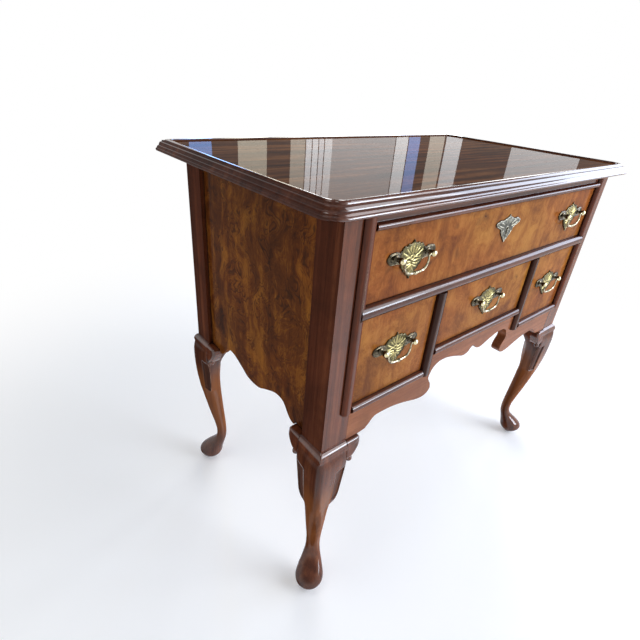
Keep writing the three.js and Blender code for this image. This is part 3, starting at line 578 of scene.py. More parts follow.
def plainWood(name, look, axis):
    # the wood inside: never polished, a little dusty in its corners
    material, w, shader = newMaterial(name)
    coordinates, place = placeAlong(w, axis)
    grain = w.group(grainGroup, Place=place, Waver=look["waver"])
    wearAndShade = w.group(handlingAndShadeGroup, Place=coordinates, Reach=look["reach"])
    colour = grainColour(w, look, grain, wearAndShade)
    colour = w.stain(colour, look["dust"], wearAndShade["GrimeAndShade"], look["dusty"])
    w.give(shader, {"Base Color": colour, "Roughness": look["rough"]})
    w.bump(shader, grain["Height"], look["relief"], look["bumpDepth"])
    return material


plainDeep = plainWood("plainWoodDeep", plainLook, "y")
plainAcross = plainWood("plainWoodAcross", plainLook, "x")

# the brass's dark colour is partly patina and partly a painted dark reflection of the room
brassLook = {
    "bright": (0.16, 0.13, 0.08), "dull": (0.05, 0.042, 0.03), "tarnish": (0.012, 0.011, 0.01),
    "rough": 0.15, "tarnished": 0.9, "mottle": (260.0, 4.0, 0.6), "toneStops": (0.35, 0.62),
    "roughEdges": (0.3, 0.7), "roughMore": 0.16, "roughTarnish": 0.3,
    "metalEdges": (0.3, 1.0, 1.0, 0.4), "reach": 0.0022, "edge": 0.0009, "relief": 0.25,
    "bumpDepth": 0.0002,
}
# the pale ends of the posts' balls: a painted highlight
ballHighlightLook = dict(
    brassLook, bright=(0.95, 0.86, 0.55), dull=(0.7, 0.6, 0.32), tarnish=(0.06, 0.05, 0.03),
    rough=0.2)
bailFinishLook = dict(brassLook, bright=(0.8, 0.72, 0.5), dull=(0.14, 0.115, 0.07), rough=0.14)
leafLook = dict(
    brassLook, bright=(0.66, 0.56, 0.26), dull=(0.3, 0.25, 0.1), tarnish=(0.035, 0.03, 0.016),
    rough=0.24)
groundLook = dict(
    brassLook, bright=(0.2, 0.17, 0.075), dull=(0.06, 0.052, 0.028),
    tarnish=(0.012, 0.011, 0.008), rough=0.34)
keyPlateLook = dict(brassLook, bright=(0.15, 0.145, 0.12), dull=(0.05, 0.049, 0.042), rough=0.38)
keyRimLook = dict(brassLook, bright=(0.5, 0.47, 0.36), dull=(0.18, 0.17, 0.13), rough=0.28)


def castBrass(name, look):
    material, w, shader = newMaterial(name)
    coordinates = w.add("ShaderNodeTexCoord").outputs["Object"]
    wearAndShade = w.group(handlingAndShadeGroup, Place=coordinates, Reach=look["reach"], Edge=look["edge"])
    mottle = w.noise(coordinates, *look["mottle"])[0]
    colour = w.ramp(mottle, look["toneStops"], (look["dull"], look["bright"]))
    colour = w.stain(colour, look["tarnish"], wearAndShade["GrimeAndShade"], look["tarnished"])
    rough = w.span(mottle, *look["roughEdges"], look["rough"] + look["roughMore"], look["rough"])
    rough = w.plus(rough, w.times(wearAndShade["GrimeAndShade"], look["roughTarnish"]))
    w.give(shader, {"Base Color": colour, "Roughness": rough,
                    "Metallic": w.span(wearAndShade["GrimeAndShade"], *look["metalEdges"])})
    w.bump(shader, mottle, look["relief"], look["bumpDepth"])
    return material


steelLook = {
    "mottle": (180.0, 4.0, 0.6), "toneStops": (0.4, 0.65),
    "tones": ((0.2, 0.19, 0.18), (0.42, 0.41, 0.4)), "roughRange": (0.3, 0.7, 0.5, 0.32),
}


def dullSteel(look):
    material, w, shader = newMaterial("dullSteel")
    mottle = w.noise(w.add("ShaderNodeTexCoord").outputs["Object"], *look["mottle"])[0]
    w.give(shader, {"Base Color": w.ramp(mottle, look["toneStops"], look["tones"]),
                    "Roughness": w.span(mottle, *look["roughRange"]), "Metallic": 1.0})
    return material


brassFinish = castBrass("darkBrass", brassLook)
ballHighlightFinish = castBrass("ballBrassHighlight", ballHighlightLook)
keyRimFinish = castBrass("keyRimBrass", keyRimLook)
bailFinish = castBrass("bailBrass", bailFinishLook)
leafFinish = castBrass("rubbedBrass", leafLook)
groundFinish = castBrass("sunkBrass", groundLook)
keyPlateFinish = castBrass("keyPlateBrass", keyPlateLook)
steelFinish = dullSteel(steelLook)
print("finishes built")


# Boards and mouldings keep the frame's shape and get eased arrises

boardLook = {"arris": 0.0007, "arrisSteps": 2, "sharpDegrees": 32, "flatDegrees": 0.5}


def dressBoard(node, body, slot, finish):
    piece = copyOfNode(node)
    dissolved(piece, boardLook["flatDegrees"])
    applyModifier(piece, "BEVEL", width=boardLook["arris"], segments=boardLook["arrisSteps"],
                  limit_method="ANGLE", angle_limit=math.radians(boardLook["sharpDegrees"]),
                  use_clamp_overlap=True, miter_outer="MITER_ARC")
    smooth(piece, boardLook["sharpDegrees"])
    evenNormals(piece)
    finishPiece(piece, body, slot, finish, node)


def dressBoards():
    for node in ("top_rail", "middle_rail", "centre_rail", "side_rail_left", "side_rail_right"):
        dressBoard(node, "case", "dark_walnut", railFinish)
    for side in sides:
        # the dividers take the painted-shade dark finish
        dressBoard("divider_" + side, "case", "dark_walnut", dullShadedUpright)
        dressBoard("stile_moulding_" + side, "case", "dark_walnut", stileFinish)
        dressBoard("side_panel_" + side, "case", "figured_walnut", sideFinish)
    dressBoard("front_apron", "case", "mid_walnut", apronFinish)
    for name in drawerNames:
        dressBoard("drawer_" + name + "_front", "drawer_" + name, "figured_walnut", frontFinish)
    dressBoard("back_board", "case", "drawer_wood", plainAcross)


dressBoards()
print("boards and mouldings dressed")


# Legs, top and knee blocks: the frame's coarse skins, smoothed with their true edges kept

quadDegrees = 70


def creaseSharp(piece, degrees, crease):
    # the edges sharper than this keep that much of their sharpness
    editAll(piece)
    bpy.ops.mesh.select_all(action="DESELECT")
    bpy.ops.mesh.select_mode(type="EDGE")
    bpy.ops.mesh.edges_select_sharp(sharpness=math.radians(degrees))
    bpy.ops.transform.edge_crease(value=crease)
    editDone()


def foursided(piece):
    limit = math.radians(quadDegrees)
    edited(piece, bpy.ops.mesh.tris_convert_to_quads, face_threshold=limit, shape_threshold=limit)


def subdivided(piece, levels=2):
    applyModifier(piece, "SUBSURF", levels=levels, render_levels=levels)


# heights over the floor, how near to them and to the arrises an edge still counts, and the wings
legLook = {
    "postFrom": 0.7, "collarTop": 0.368, "collarFoot": 0.3516, "collarBelow": 0.001,
    "collarNear": 0.002, "ledgeFoot": 0.2295, "ledgeTop": 0.2342, "near": 0.0002, "rise": 0.0005,
    "crisp": 1.0, "soft": 0.6, "creased": 0.9, "smoothDegrees": 44,
    "wingFoot": 0.2337, "wingTop": 0.3165, "wingColumns": 6, "wingSunk": 0.002,
    "wingStep": 0.00025, "upright": 0.6,
}
# how the smoothing of the knee comes and goes over heights and in from the side arrises
kneeLook = {
    "foot": 0.2, "footOver": 0.04, "top": 0.348, "topOver": 0.03, "shinShare": 0.12,
    "arrisFrom": 0.3, "arrisOver": 0.008, "arrisBelow": 0.004, "padTop": 0.012, "padOver": 0.03,
    "steps": 14, "factor": 0.5, "sliceHeight": 0.002,
}


def diagonalFrame(piece):
    # the post's outer corner, the way out from the case over it, and the way across
    posts = [vertex.co for vertex in piece.data.vertices if vertex.co.z > legLook["postFrom"]]
    corner = Vector((max((post.x for post in posts), key=abs),
                     max((post.y for post in posts), key=abs), 0))
    out = Vector((math.copysign(1, corner.x), math.copysign(1, corner.y), 0)).normalized()
    return corner, out, Vector((-out.y, out.x, 0))


def legReach(piece, corner, aside):
    # how far the leg goes to its sides, slice by slice
    slices = {}
    for vertex in piece.data.vertices:
        number = round(vertex.co.z / kneeLook["sliceHeight"])
        slices[number] = max(slices.get(number, 0), abs((vertex.co - corner).dot(aside)))
    return slices


def insideBy(place, slices, corner, aside):
    # the distance in from the side arris at the place's height
    number = round(place.z / kneeLook["sliceHeight"])
    near = [slices[number + step] for step in (0, -1, 1, -2, 2) if number + step in slices]
    return (near[0] if near else 1) - abs((place - corner).dot(aside))


def creaseLeg(piece, corner, aside):
    # the collar's mitre, its foot and top, the sides that meet the blocks and the wings' arrises
    look, near = legLook, legLook["near"]
    slices = {}
    for vertex in piece.data.vertices:
        level = round(vertex.co.z, 4)
        slices[level] = max(slices.get(level, 0), abs((vertex.co - corner).dot(aside)))

    def measured(edge):
        ends = [piece.data.vertices[end].co for end in edge.vertices]
        low, high = sorted(end.z for end in ends)
        across = [abs((end - corner).dot(aside)) for end in ends]
        atArris = all(side > slices[round(end.z, 4)] - near for side, end in zip(across, ends))
        return low, high, high - low > look["rise"], atArris, all(side < near for side in across)

    def staysCrisp(edge):
        low, high, upright, atArris, atRidge = measured(edge)
        ledge = look["ledgeFoot"] < low and high < look["ledgeTop"]
        return (ledge or upright and atArris and low > look["ledgeFoot"] or
                upright and atRidge and low > look["collarFoot"] - look["collarBelow"] or
                low > look["collarTop"] - near and (not upright or atArris or atRidge))

    def goesSoft(edge):
        low, _, upright, *_ = measured(edge)
        return not upright and abs(low - look["collarFoot"]) < look["collarNear"]

    for wanted, crease in ((staysCrisp, look["crisp"]), (goesSoft, look["soft"])):
        selectWhere(piece, "EDGE", wanted)
        bpy.ops.transform.edge_crease(value=crease)
        editDone()


def roundKnee(piece, corner, aside):
    # the knee's front is carved round; the collar, the wings' arrises and the post keep theirs
    look = kneeLook
    slices = legReach(piece, corner, aside)
    group = piece.vertex_groups.new(name="knee")
    for vertex in piece.data.vertices:
        height = vertex.co.z
        inside = insideBy(vertex.co, slices, corner, aside)
        rising = look["shinShare"] + (height - look["foot"]) / look["footOver"]
        falling = (look["top"] - height) / look["topOver"]
        beside = height > legLook["ledgeFoot"] - look["arrisBelow"]
        held = inside / look["arrisOver"] - look["arrisFrom"] if beside else 1
        padded = (height - look["padTop"]) / look["padOver"]
        share = min(1.0, max(look["shinShare"], rising), falling, held, padded)
        group.add([vertex.index], max(0.0, share), "REPLACE")
    applyModifier(piece, "SMOOTH", factor=look["factor"], iterations=look["steps"],
                  vertex_group="knee")


def wingFaces(piece, out):
    # row by row, the faces next to the creased arris, a few columns deep, that face out
    mesh, look = piece.data, legLook
    creases = mesh.attributes["crease_edge"].data
    beside = {}
    for face in mesh.polygons:
        for key in face.edge_keys:
            beside.setdefault(key, []).append(face.index)
    band = set()
    for edge in mesh.edges:
        ends = [mesh.vertices[end].co for end in edge.vertices]
        low, high = sorted(end.z for end in ends)
        level = high - low < look["upright"] * (ends[0] - ends[1]).length
        creased = creases[edge.index].value >= look["creased"]
        if not creased or level or low < look["wingFoot"] or high > look["wingTop"]:
            continue
        key = tuple(sorted(edge.vertices))
        number = max(beside[key], key=lambda index: mesh.polygons[index].normal.dot(out))
        for column in range(look["wingColumns"]):
            band.add(number)
            corners = mesh.polygons[number].vertices
            if len(corners) != 4:
                break
            key = tuple(sorted(corner for corner in corners if corner not in key))
            number = next((index for index in beside[key] if index != number), number)
    return band


def sinkWings(piece, out):
    # the knee stands proud of a narrow flat wing down each side, which ends on a small ledge
    band = wingFaces(piece, out)
    for face in piece.data.polygons:
        high = face.center.z > legLook["collarFoot"] - legLook["collarBelow"]
        # the wing faces take the darker wing finish, painted shade; the collar and post take the
        # upright finish
        face.material_index = 1 if face.index in band else 2 if high else 0
    selectWhere(piece, "FACE", lambda face: face.index in band)
    bpy.ops.mesh.inset(thickness=legLook["wingStep"], depth=-legLook["wingSunk"])
    editDone()
    return len(band)


def sharpenPost(piece):
    # the arrises of the post stay crisp up to its top
    def onPost(edge):
        mesh = piece.data
        foot = min(mesh.vertices[end].co.z for end in edge.vertices)
        creased = mesh.attributes["crease_edge"].data[edge.index].value > legLook["creased"]
        return creased and foot > legLook["collarTop"] - legLook["near"]

    selectWhere(piece, "EDGE", onPost)
    bpy.ops.mesh.mark_sharp()
    editDone()


def dressLegs():
    for node in ["leg_" + end + "_" + side for end in ("front", "rear") for side in sides]:
        piece = copyOfNode(node)
        for finish in (legFinish, shadedWingFinish, darkUpright):
            piece.data.materials.append(finish)
        foursided(piece)
        corner, out, aside = diagonalFrame(piece)
        creaseLeg(piece, corner, aside)
        subdivided(piece, 1)
        roundKnee(piece, corner, aside)
        subdivided(piece, 1)
        count = sinkWings(piece, out)
        smooth(piece, legLook["smoothDegrees"])
        sharpenPost(piece)
        evenNormals(piece)
        finishPiece(piece, "case", "dark_walnut", legFinish, node)
        print(node, "dressed with", count, "wing faces")


topPieceLook = {
    "flatDegrees": 0.3, "corner": 0.03, "firstCut": 0.004, "cuts": 6, "cutGrowth": 2.4,
    "cutReach": 0.2, "creases": ((26, 0.55), (62, 1.0)), "hair": 0.99999, "smoothDegrees": 34,
    "edge": 0.0204, "backLip": 0.0134, "level": 0.9, "underDepth": 0.002,
}


def holdEdges(piece, low, high):
    # cuts beside the shaped corners hold the straight edges straight
    look = topPieceLook
    gap = look["firstCut"]
    for step in range(look["cuts"]):
        along = look["corner"] + gap
        for place, facing in (((low.x + along, 0, 0), (1, 0, 0)),
                              ((high.x - along, 0, 0), (1, 0, 0)),
                              ((0, low.y + along, 0), (0, 1, 0))):
            edited(piece, bpy.ops.mesh.bisect, plane_co=place, plane_no=facing)
        gap *= look["cutGrowth"]
        if along + gap > look["cutReach"]:
            break


def finishTop(piece, low, high):
    # the moulding, then the field of the top, then the underside
    look = topPieceLook
    for finish in (mouldFinish, topFinish, underFinish):
        piece.data.materials.append(finish)
    for face in piece.data.polygons:
        middle = face.center
        inside = (low.x + look["edge"] < middle.x < high.x - look["edge"] and
                  low.y + look["edge"] < middle.y < high.y - look["backLip"])
        under = face.normal.z < -look["level"] and middle.z < low.z + look["underDepth"]
        face.material_index = 2 if under else 1 if inside and face.normal.z > look["level"] else 0


def dressTop():
    look = topPieceLook
    piece = copyOfNode("top_board")
    low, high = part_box("top_board")
    dissolved(piece, look["flatDegrees"])
    foursided(piece)
    holdEdges(piece, low, high)
    for degrees, crease in look["creases"]:
        creaseSharp(piece, degrees, crease)
    subdivided(piece)
    # a hair shallower, so that rounding can't carry the back edge out of the frame's box
    edited(piece, bpy.ops.transform.resize, value=(1, look["hair"], 1), center_override=(0, 0, 0))
    smooth(piece, look["smoothDegrees"])
    evenNormals(piece)
    finishTop(piece, low, high)
    finishPiece(piece, "case", "figured_walnut", topFinish, "top_board")


blockLook = {"creaseDegrees": 50, "smoothDegrees": 44}


def dressBlocks():
    for node in sorted(name for name in nodes if name.startswith("knee_block_")):
        piece = copyOfNode(node)
        foursided(piece)
        creaseSharp(piece, blockLook["creaseDegrees"], 1.0)
        subdivided(piece)
        smooth(piece, blockLook["smoothDegrees"])
        evenNormals(piece)
        finishPiece(piece, "case", "dark_walnut", darkUpright, node)


dressLegs()
dressTop()
dressBlocks()
print("legs, knee blocks and top dressed")


# Unpolished pieces inside the case keep the frame's own meshes

def refinish(node, material):
    shape = nodes[node]
    shape.data.materials.clear()
    shape.data.materials.append(material)


for side in sides:
    for stem in ("runner_top_", "runner_outer_", "runner_inner_"):
        refinish(stem + side, plainDeep)
for name in drawerNames:
    refinish("drawer_" + name + "_box", plainDeep)
    refinish("drawer_" + name + "_bottom", plainAcross)
refinish("lock_case", steelFinish)
for end in ("front", "rear"):
    for side in sides:
        refinish("glide_" + end + "_" + side, steelFinish)
print("inside pieces finished")


# Brasses: a shaped plate with raised leaves and scrolls, turned posts and a cast bail

plateRuns = [
    [(0, 1), (0.05, 0.86), (0.13, 0.79)],
    [(0.13, 0.79), (0.21, 0.82), (0.27, 0.71)],
    [(0.27, 0.71), (0.36, 0.74), (0.45, 0.57)],
    [(0.45, 0.57), (0.53, 0.48), (0.66, 0.55), (0.85, 0.53)],
    [(0.85, 0.53), (0.95, 0.45), (1, 0.24), (0.92, 0.03)],
    [(0.92, 0.03), (0.82, -0.06), (0.62, -0.06), (0.43, -0.12)],
    [(0.43, -0.12), (0.41, -0.28), (0.33, -0.4)],
    [(0.33, -0.4), (0.27, -0.56), (0.19, -0.6)],
    [(0.19, -0.6), (0.16, -0.74), (0.09, -0.79)],
    [(0.09, -0.79), (0.04, -0.87), (0, -1)],
]
# raised strokes on one half of the plate: their line, in shares of its half sizes, and their
# thickness in millimetres at the start, the middle and the end
plateStrokes = [
    ([(0, 0.3), (0.0, 0.6), (0, 0.86)], (1.2, 1.6, 0.5)),
    ([(0.04, 0.34), (0.12, 0.52), (0.13, 0.7)], (0.8, 1.7, 0.6)),
    ([(0.1, 0.3), (0.2, 0.44), (0.27, 0.58)], (0.8, 1.7, 0.6)),
    ([(0.13, 0.16), (0.26, 0.26), (0.4, 0.42)], (0.8, 1.6, 0.6)),
    ([(0.05, 0.08), (0.16, 0.12), (0.3, 0.06), (0.37, 0.16)], (1.0, 1.3, 0.7)),
    ([(0.0, 0.22), (0.07, 0.16), (0.05, 0.02), (-0.04, -0.02)], (0.9, 1.3, 0.9)),
    ([(0.06, -0.1), (0.2, -0.06), (0.36, -0.03)], (1.0, 1.5, 0.5)),
    ([(0.04, -0.18), (0.18, -0.24), (0.3, -0.2)], (0.8, 1.5, 0.5)),
    ([(0.02, -0.26), (0.14, -0.38), (0.23, -0.42)], (0.8, 1.5, 0.5)),
    ([(0, -0.22), (0.05, -0.42), (0.11, -0.6)], (0.7, 1.4, 0.5)),
    ([(0, -0.34), (0, -0.6), (0, -0.86)], (0.6, 1.3, 0.4)),
]
# the darker scrolls on the wing behind each post, in the wing's painted shade
wingStrokes = [
    ([(0.47, 0.3), (0.56, 0.42), (0.72, 0.46), (0.88, 0.4), (0.92, 0.22), (0.82, 0.1)],
     (0.7, 1.3, 0.7)),
    ([(0.46, 0.06), (0.58, 0.03), (0.76, 0.06), (0.86, 0.14)], (0.6, 1.0, 0.5)),
    ([(0.5, 0.2), (0.6, 0.26), (0.7, 0.22)], (0.7, 1.0, 0.5)),
]
keyStrokes = [
    ([(0, 0.45), (0, 0.66), (0, 0.9)], (0.5, 0.9, 0.3)),
    ([(0.12, 0.4), (0.16, 0.6), (0.22, 0.7)], (0.5, 0.9, 0.4)),
    ([(0.28, 0.3), (0.46, 0.44), (0.62, 0.54)], (0.5, 0.9, 0.4)),
    ([(0.32, 0.12), (0.6, 0.24), (0.84, 0.4)], (0.5, 0.9, 0.4)),
    ([(0.26, -0.1), (0.34, -0.24), (0.3, -0.4)], (0.4, 0.8, 0.4)),
    ([(0.14, -0.5), (0.1, -0.66), (0, -0.84)], (0.4, 0.8, 0.3)),
]
keyPlateRuns = [
    [(0, 1), (0.07, 0.86), (0.15, 0.82)], [(0.15, 0.82), (0.24, 0.76), (0.33, 0.72)],
    [(0.33, 0.72), (0.44, 0.66), (0.55, 0.66)], [(0.55, 0.66), (0.72, 0.68), (0.86, 0.6)],
    [(0.86, 0.6), (0.98, 0.52), (1, 0.4), (0.93, 0.26)], [(0.93, 0.26), (0.76, 0.16), (0.6, 0.06)],
    [(0.6, 0.06), (0.5, -0.06), (0.5, -0.2)], [(0.5, -0.2), (0.4, -0.32), (0.37, -0.46)],
    [(0.37, -0.46), (0.26, -0.56), (0.2, -0.7)], [(0.2, -0.7), (0.1, -0.82), (0, -1)],
]
reliefLook = {
    "outlineSteps": 6, "softEdge": 0.0004, "rimIn": 0.0011, "rimRadius": 0.00045,
    "lipOut": 0.0008, "lipRadius": 0.0005, "wingFrom": 0.45, "strokeFlat": 0.5, "strokeSteps": 5,
    "middle": 0.01,
}
wireRoundness = 2
pullLook = {
    "width": 0.104, "height": 0.06, "thickness": 0.0016, "rise": 0.007, "spacing": 0.068,
    "proud": 0.012, "seat": 0.0003, "aroundSteps": 24, "ballFrom": 0.0133,
}
# a post's turned outline: its radius and how far it stands out, in millimetres
postProfile = [
    (5.6, 1.9), (5.6, 2.6), (5.0, 3.2), (4.0, 3.5), (3.2, 4.2), (2.7, 5.4), (2.8, 6.6),
    (3.6, 7.2), (4.1, 7.6), (3.9, 8.1), (4.5, 8.9), (5.0, 10.4), (5.2, 12.0), (5.0, 13.6),
    (4.3, 15.1), (3.2, 16.2), (1.8, 16.9), (0.5, 17.2),
]
shankProfile = [
    (5.6, 1.9), (5.6, 0.3), (3.0, 0.3), (3.0, -20.3), (4.6, -20.3), (5.6, -20.6), (6.0, -21.2),
    (6.0, -23.4), (5.5, -24.1), (4.4, -24.3), (0.4, -24.3),
]
bailLook = {
    "line": [(0.935, 0), (0.86, 0), (0.79, 0), (0.745, -0.1), (0.76, -0.32), (0.72, -0.6),
             (0.56, -0.87), (0.3, -0.97), (0.12, -0.99)],
    "radius": [1.5, 1.5, 1.7, 1.75, 1.6, 1.8, 2.05, 2.2, 2.0],
    "drop": 0.0235, "lineSteps": 5, "aroundSteps": 16, "smoothDegrees": 50,
    "collar": [(1.9, -3.2), (2.7, -2.7), (2.9, -2.1), (2.3, -1.5), (2.5, -0.9), (3.1, -0.4),
               (3.1, 0.4), (2.5, 0.9), (2.3, 1.5), (2.9, 2.1), (2.7, 2.7), (1.9, 3.2)],
}


def runPoints(points, steps):
    # a smooth line through the points, as a list of places in the plane
    ends = [points[0], *points, points[-1]]
    line = []
    for place in range(1, len(ends) - 2):
        before, first, second, after = (Vector(end) for end in ends[place - 1:place + 3])
        for step in range(steps):
            t = step / steps
            line.append(0.5 * (2 * first + (second - before) * t +
                               (2 * before - 5 * first + 4 * second - after) * t ** 2 +
                               (3 * first - before - 3 * second + after) * t ** 3))
    return line + [Vector(points[-1])]


def drawnCurve(name, lines, flat=False, closed=True, radii=None, depth=0.0, thickness=0.0,
               inset=0.0):
    # wire along the lines, or a flat sheet between them
    bpy.ops.object.select_all(action="DESELECT")
    bpy.ops.curve.primitive_bezier_curve_add(location=(0, 0, 0))
    curve = bpy.context.object
    curve.name = name
    data = curve.data
    data.dimensions = "2D" if flat else "3D"
    data.splines.clear()
    for line in lines:
        spline = data.splines.new("POLY")
        spline.points.add(len(line) - 1)
        for index, place in enumerate(line):
            spline.points[index].co = (place[0], place[1], place[2] if len(place) > 2 else 0, 1)
            spline.points[index].radius = radii[index] if radii else 1.0
        spline.use_cyclic_u = closed
    if flat:
        data.fill_mode = "BOTH"
        data.extrude = thickness / 2
        data.offset = -inset
    else:
        data.use_fill_caps = not closed
    data.bevel_depth = depth
    data.bevel_resolution = wireRoundness
    selectOnly(curve)
    bpy.ops.object.convert(target="MESH")
    facedOut(bpy.context.object, mergeDistance / 2)
    return bpy.context.object


def plateOutline(runs, width, height):
    half = []
    for run in runs:
        half += runPoints(run, reliefLook["outlineSteps"])[:-1]
    line = [Vector((point.x * width / 2, point.y * height / 2)) for point in half]
    foot = Vector((0, -height / 2))
    other = [Vector((-point.x, point.y)) for point in line[:0:-1]]
    return [*line, foot, *other]


def drawnIn(line, inset):
    # the same closed line, moved in towards the middle of the plate
    moved = []
    for index, place in enumerate(line):
        before, after = line[index - 1], line[(index + 1) % len(line)]
        along = (after - before).normalized()
        inward = Vector((along.y, -along.x))
        moved.append(place + inward * inset)
    return moved


def radiusAt(share, start, middle, end):
    if share < 0.5:
        return start + (middle - start) * share * 2
    return middle + (end - middle) * (share * 2 - 1)


def strokePiece(line, thickness, width, height, mirrored, above):
    look = reliefLook
    points = runPoints(line, look["strokeSteps"])
    sign = -1 if mirrored else 1
    level = above / look["strokeFlat"]
    places = [(sign * point.x * width / 2, point.y * height / 2, level) for point in points]
    last = len(points) - 1
    radii = [radiusAt(index / last, *thickness) for index in range(len(points))]
    piece = drawnCurve("stroke", [places], closed=False, radii=radii, depth=1 / perMetre)
    piece.scale.z = look["strokeFlat"]
    return settle(piece)


# the plate's wings behind the posts take the darker brass: painted shade
def darkenWings(plate, place, finish):
    for sign in (-1, 1):
        edited(plate, bpy.ops.mesh.bisect, plane_co=(sign * place, 0, 0), plane_no=(1, 0, 0))
    plate.data.materials.append(finish)
    for face in plate.data.polygons:
        face.material_index = 1 if abs(face.center.x) > place else 0


def reliefPlate(name, width, height, thickness, finishes, runs, strokeSets, hole=None):
    # built lying down, its face up; the finishes are the ground's and the rim's, then each set's
    look, face = reliefLook, thickness / 2
    outline = plateOutline(runs, width, height)
    soft = look["softEdge"]
    parts = [drawnCurve(name, [outline] + ([hole] if hole else []), flat=True, depth=soft,
                        thickness=thickness - 2 * soft, inset=soft)]
    parts[0].data.materials.append(finishes[0])
    if not hole:
        darkenWings(parts[0], width * look["wingFrom"] / 2, finishes[1])
    wires = [("rim", outline, look["rimIn"], look["rimRadius"])]
    if hole:
        wires.append(("lip", hole, -look["lipOut"], look["lipRadius"]))
    for label, line, inset, radius in wires:
        places = [(place.x, place.y, face) for place in drawnIn(line, inset)]
        parts.append(drawnCurve(label, [places], depth=radius))
        parts[-1].data.materials.append(finishes[1])
    for strokes, finish in zip(strokeSets, finishes[2:]):
        for line, radii in strokes:
            middle = all(point[0] < look["middle"] for point in line)
            for mirrored in (False,) if middle else (False, True):
                parts.append(strokePiece(line, radii, width, height, mirrored, face))
                parts[-1].data.materials.append(finish)
    return joinedPieces(name, parts)


def turnedPiece(name, profile, around):
    # a turned solid standing up: a circle drawn up its outline
    bpy.ops.object.select_all(action="DESELECT")
    radius, level = profile[0]
    bpy.ops.mesh.primitive_circle_add(vertices=around, radius=radius / perMetre,
                                      location=(0, 0, level / perMetre))
    piece = bpy.context.object
    piece.name = name
    editAll(piece)
    for (before, low), (after, high) in zip(profile, profile[1:]):
        bpy.ops.mesh.extrude_region_move(
            TRANSFORM_OT_translate={"value": (0, 0, (high - low) / perMetre)})
        share = after / before
        bpy.ops.transform.resize(value=(share, share, 1), center_override=(0, 0, high / perMetre))
    bpy.ops.mesh.edge_face_add()
    editDone()
    return settle(piece)


def madePull():
    # modelled with its middle at the origin, its plate's back in the plane of the drawer front
    look = pullLook
    finishes = (groundFinish, brassFinish, leafFinish, brassFinish)
    plate = reliefPlate("pullPlate", look["width"], look["height"], look["thickness"],
                        finishes, plateRuns, (plateStrokes, wingStrokes))
    plate.location.z = look["seat"] + look["thickness"] / 2
    parts = [settle(plate)]
    for sign in (-1, 1):
        for profile in (postProfile, shankProfile):
            post = turnedPiece("pullPost", profile, look["aroundSteps"])
            post.data.materials.append(brassFinish)
            post.data.materials.append(ballHighlightFinish)
            # the ball ends take the pale brass, a painted highlight
            for face in post.data.polygons:
                face.material_index = 1 if face.center.z > look["ballFrom"] else 0
            post.location = (sign * look["spacing"] / 2, look["rise"], 0)
            parts.append(settle(post))
    piece = stoodUp(joinedPieces("pull", parts))
    facedOut(piece, mergeDistance / 5)
    smooth(piece)
    return piece


def madeBail():
    look, half = bailLook, pullLook["spacing"] / 2
    points = [(share * half, down * look["drop"]) for share, down in look["line"]]
    line = runPoints(points, look["lineSteps"])
    sizes = runPoints([(radius, 0) for radius in look["radius"]], look["lineSteps"])
    places = [(point.x, point.y, 0) for point in line]
    places += [(-point.x, point.y, 0) for point in reversed(line)]
    radii = [size.x for size in sizes + sizes[::-1]]
    wire = drawnCurve("bail", [places], closed=False, radii=radii, depth=1 / perMetre)
    collar = turnedPiece("bailCollar", look["collar"], look["aroundSteps"])
    collar.rotation_euler = (0, math.pi / 2, 0)
    collar.location = (0, points[-1][1], 0)
    piece = joinedPieces("bail", [wire, settle(collar)])
    stoodUp(piece, (0, -pullLook["proud"], pullLook["rise"]))
    facedOut(piece)
    smooth(piece, look["smoothDegrees"])
    piece.data.materials.append(bailFinish)
    return piece


def dressPulls():
    pull = madePull()
    bail = madeBail()
    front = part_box("drawer_left_front")[0].y
    for node in sorted(name for name in nodes if name.startswith("pull_")):
        label = node[len("pull_"):]
        low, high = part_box(node)
        place = ((low.x + high.x) / 2, front, (low.z + high.z) / 2)
        fixed, loose = "drawer_" + label.split("_")[0], "bail_" + label
        dressed = copyOfPiece(pull, "dressed_" + node, place)
        finishPiece(dressed, fixed, "aged_brass", leafFinish, node)
        dressed = copyOfPiece(bail, "dressed_" + loose, place)
        finishPiece(dressed, loose, "aged_brass", bailFinish, loose)
    bpy.data.objects.remove(pull)
    bpy.data.objects.remove(bail)


escutcheonLook = {"thickness": 0.0014, "key": 0.0032, "slot": 0.003, "drop": 0.011, "keySteps": 14}


def keyhole(look):
    meet = math.asin(look["slot"] / 2 / look["key"])
    line = []
    for step in range(look["keySteps"] + 1):
        turn = -math.pi / 2 - meet - (2 * math.pi - 2 * meet) * step / look["keySteps"]
        line.append(Vector((look["key"] * math.cos(turn), look["key"] * math.sin(turn))))
    line += [Vector((look["slot"] / 2, -look["drop"])), Vector((-look["slot"] / 2, -look["drop"]))]
    return line


def dressEscutcheon():
    low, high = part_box("escutcheon")
    look = escutcheonLook
    piece = reliefPlate("dressed_escutcheon", high.x - low.x, high.z - low.z, look["thickness"],
                        (keyPlateFinish, keyRimFinish, keyRimFinish), keyPlateRuns, (keyStrokes,),
                        keyhole(look))
    stoodUp(piece, ((low.x + high.x) / 2, high.y - look["thickness"] / 2, (low.z + high.z) / 2))
    smooth(piece)
    finishPiece(piece, "drawer_top", "aged_brass", keyPlateFinish, "escutcheon")


dressPulls()
dressEscutcheon()
print("brasses dressed")


# Camera, light and floor

viewLook = {
    "place": (-0.73367, -0.57725, 0.88384), "right": (0.77444, -0.6284, 0.07312),
    "down": (-0.2571, -0.41822, -0.8712), "ahead": (0.57805, 0.6559, -0.48545),
    "lens": 24.496, "sensor": 36.0, "nearest": 0.02,
}


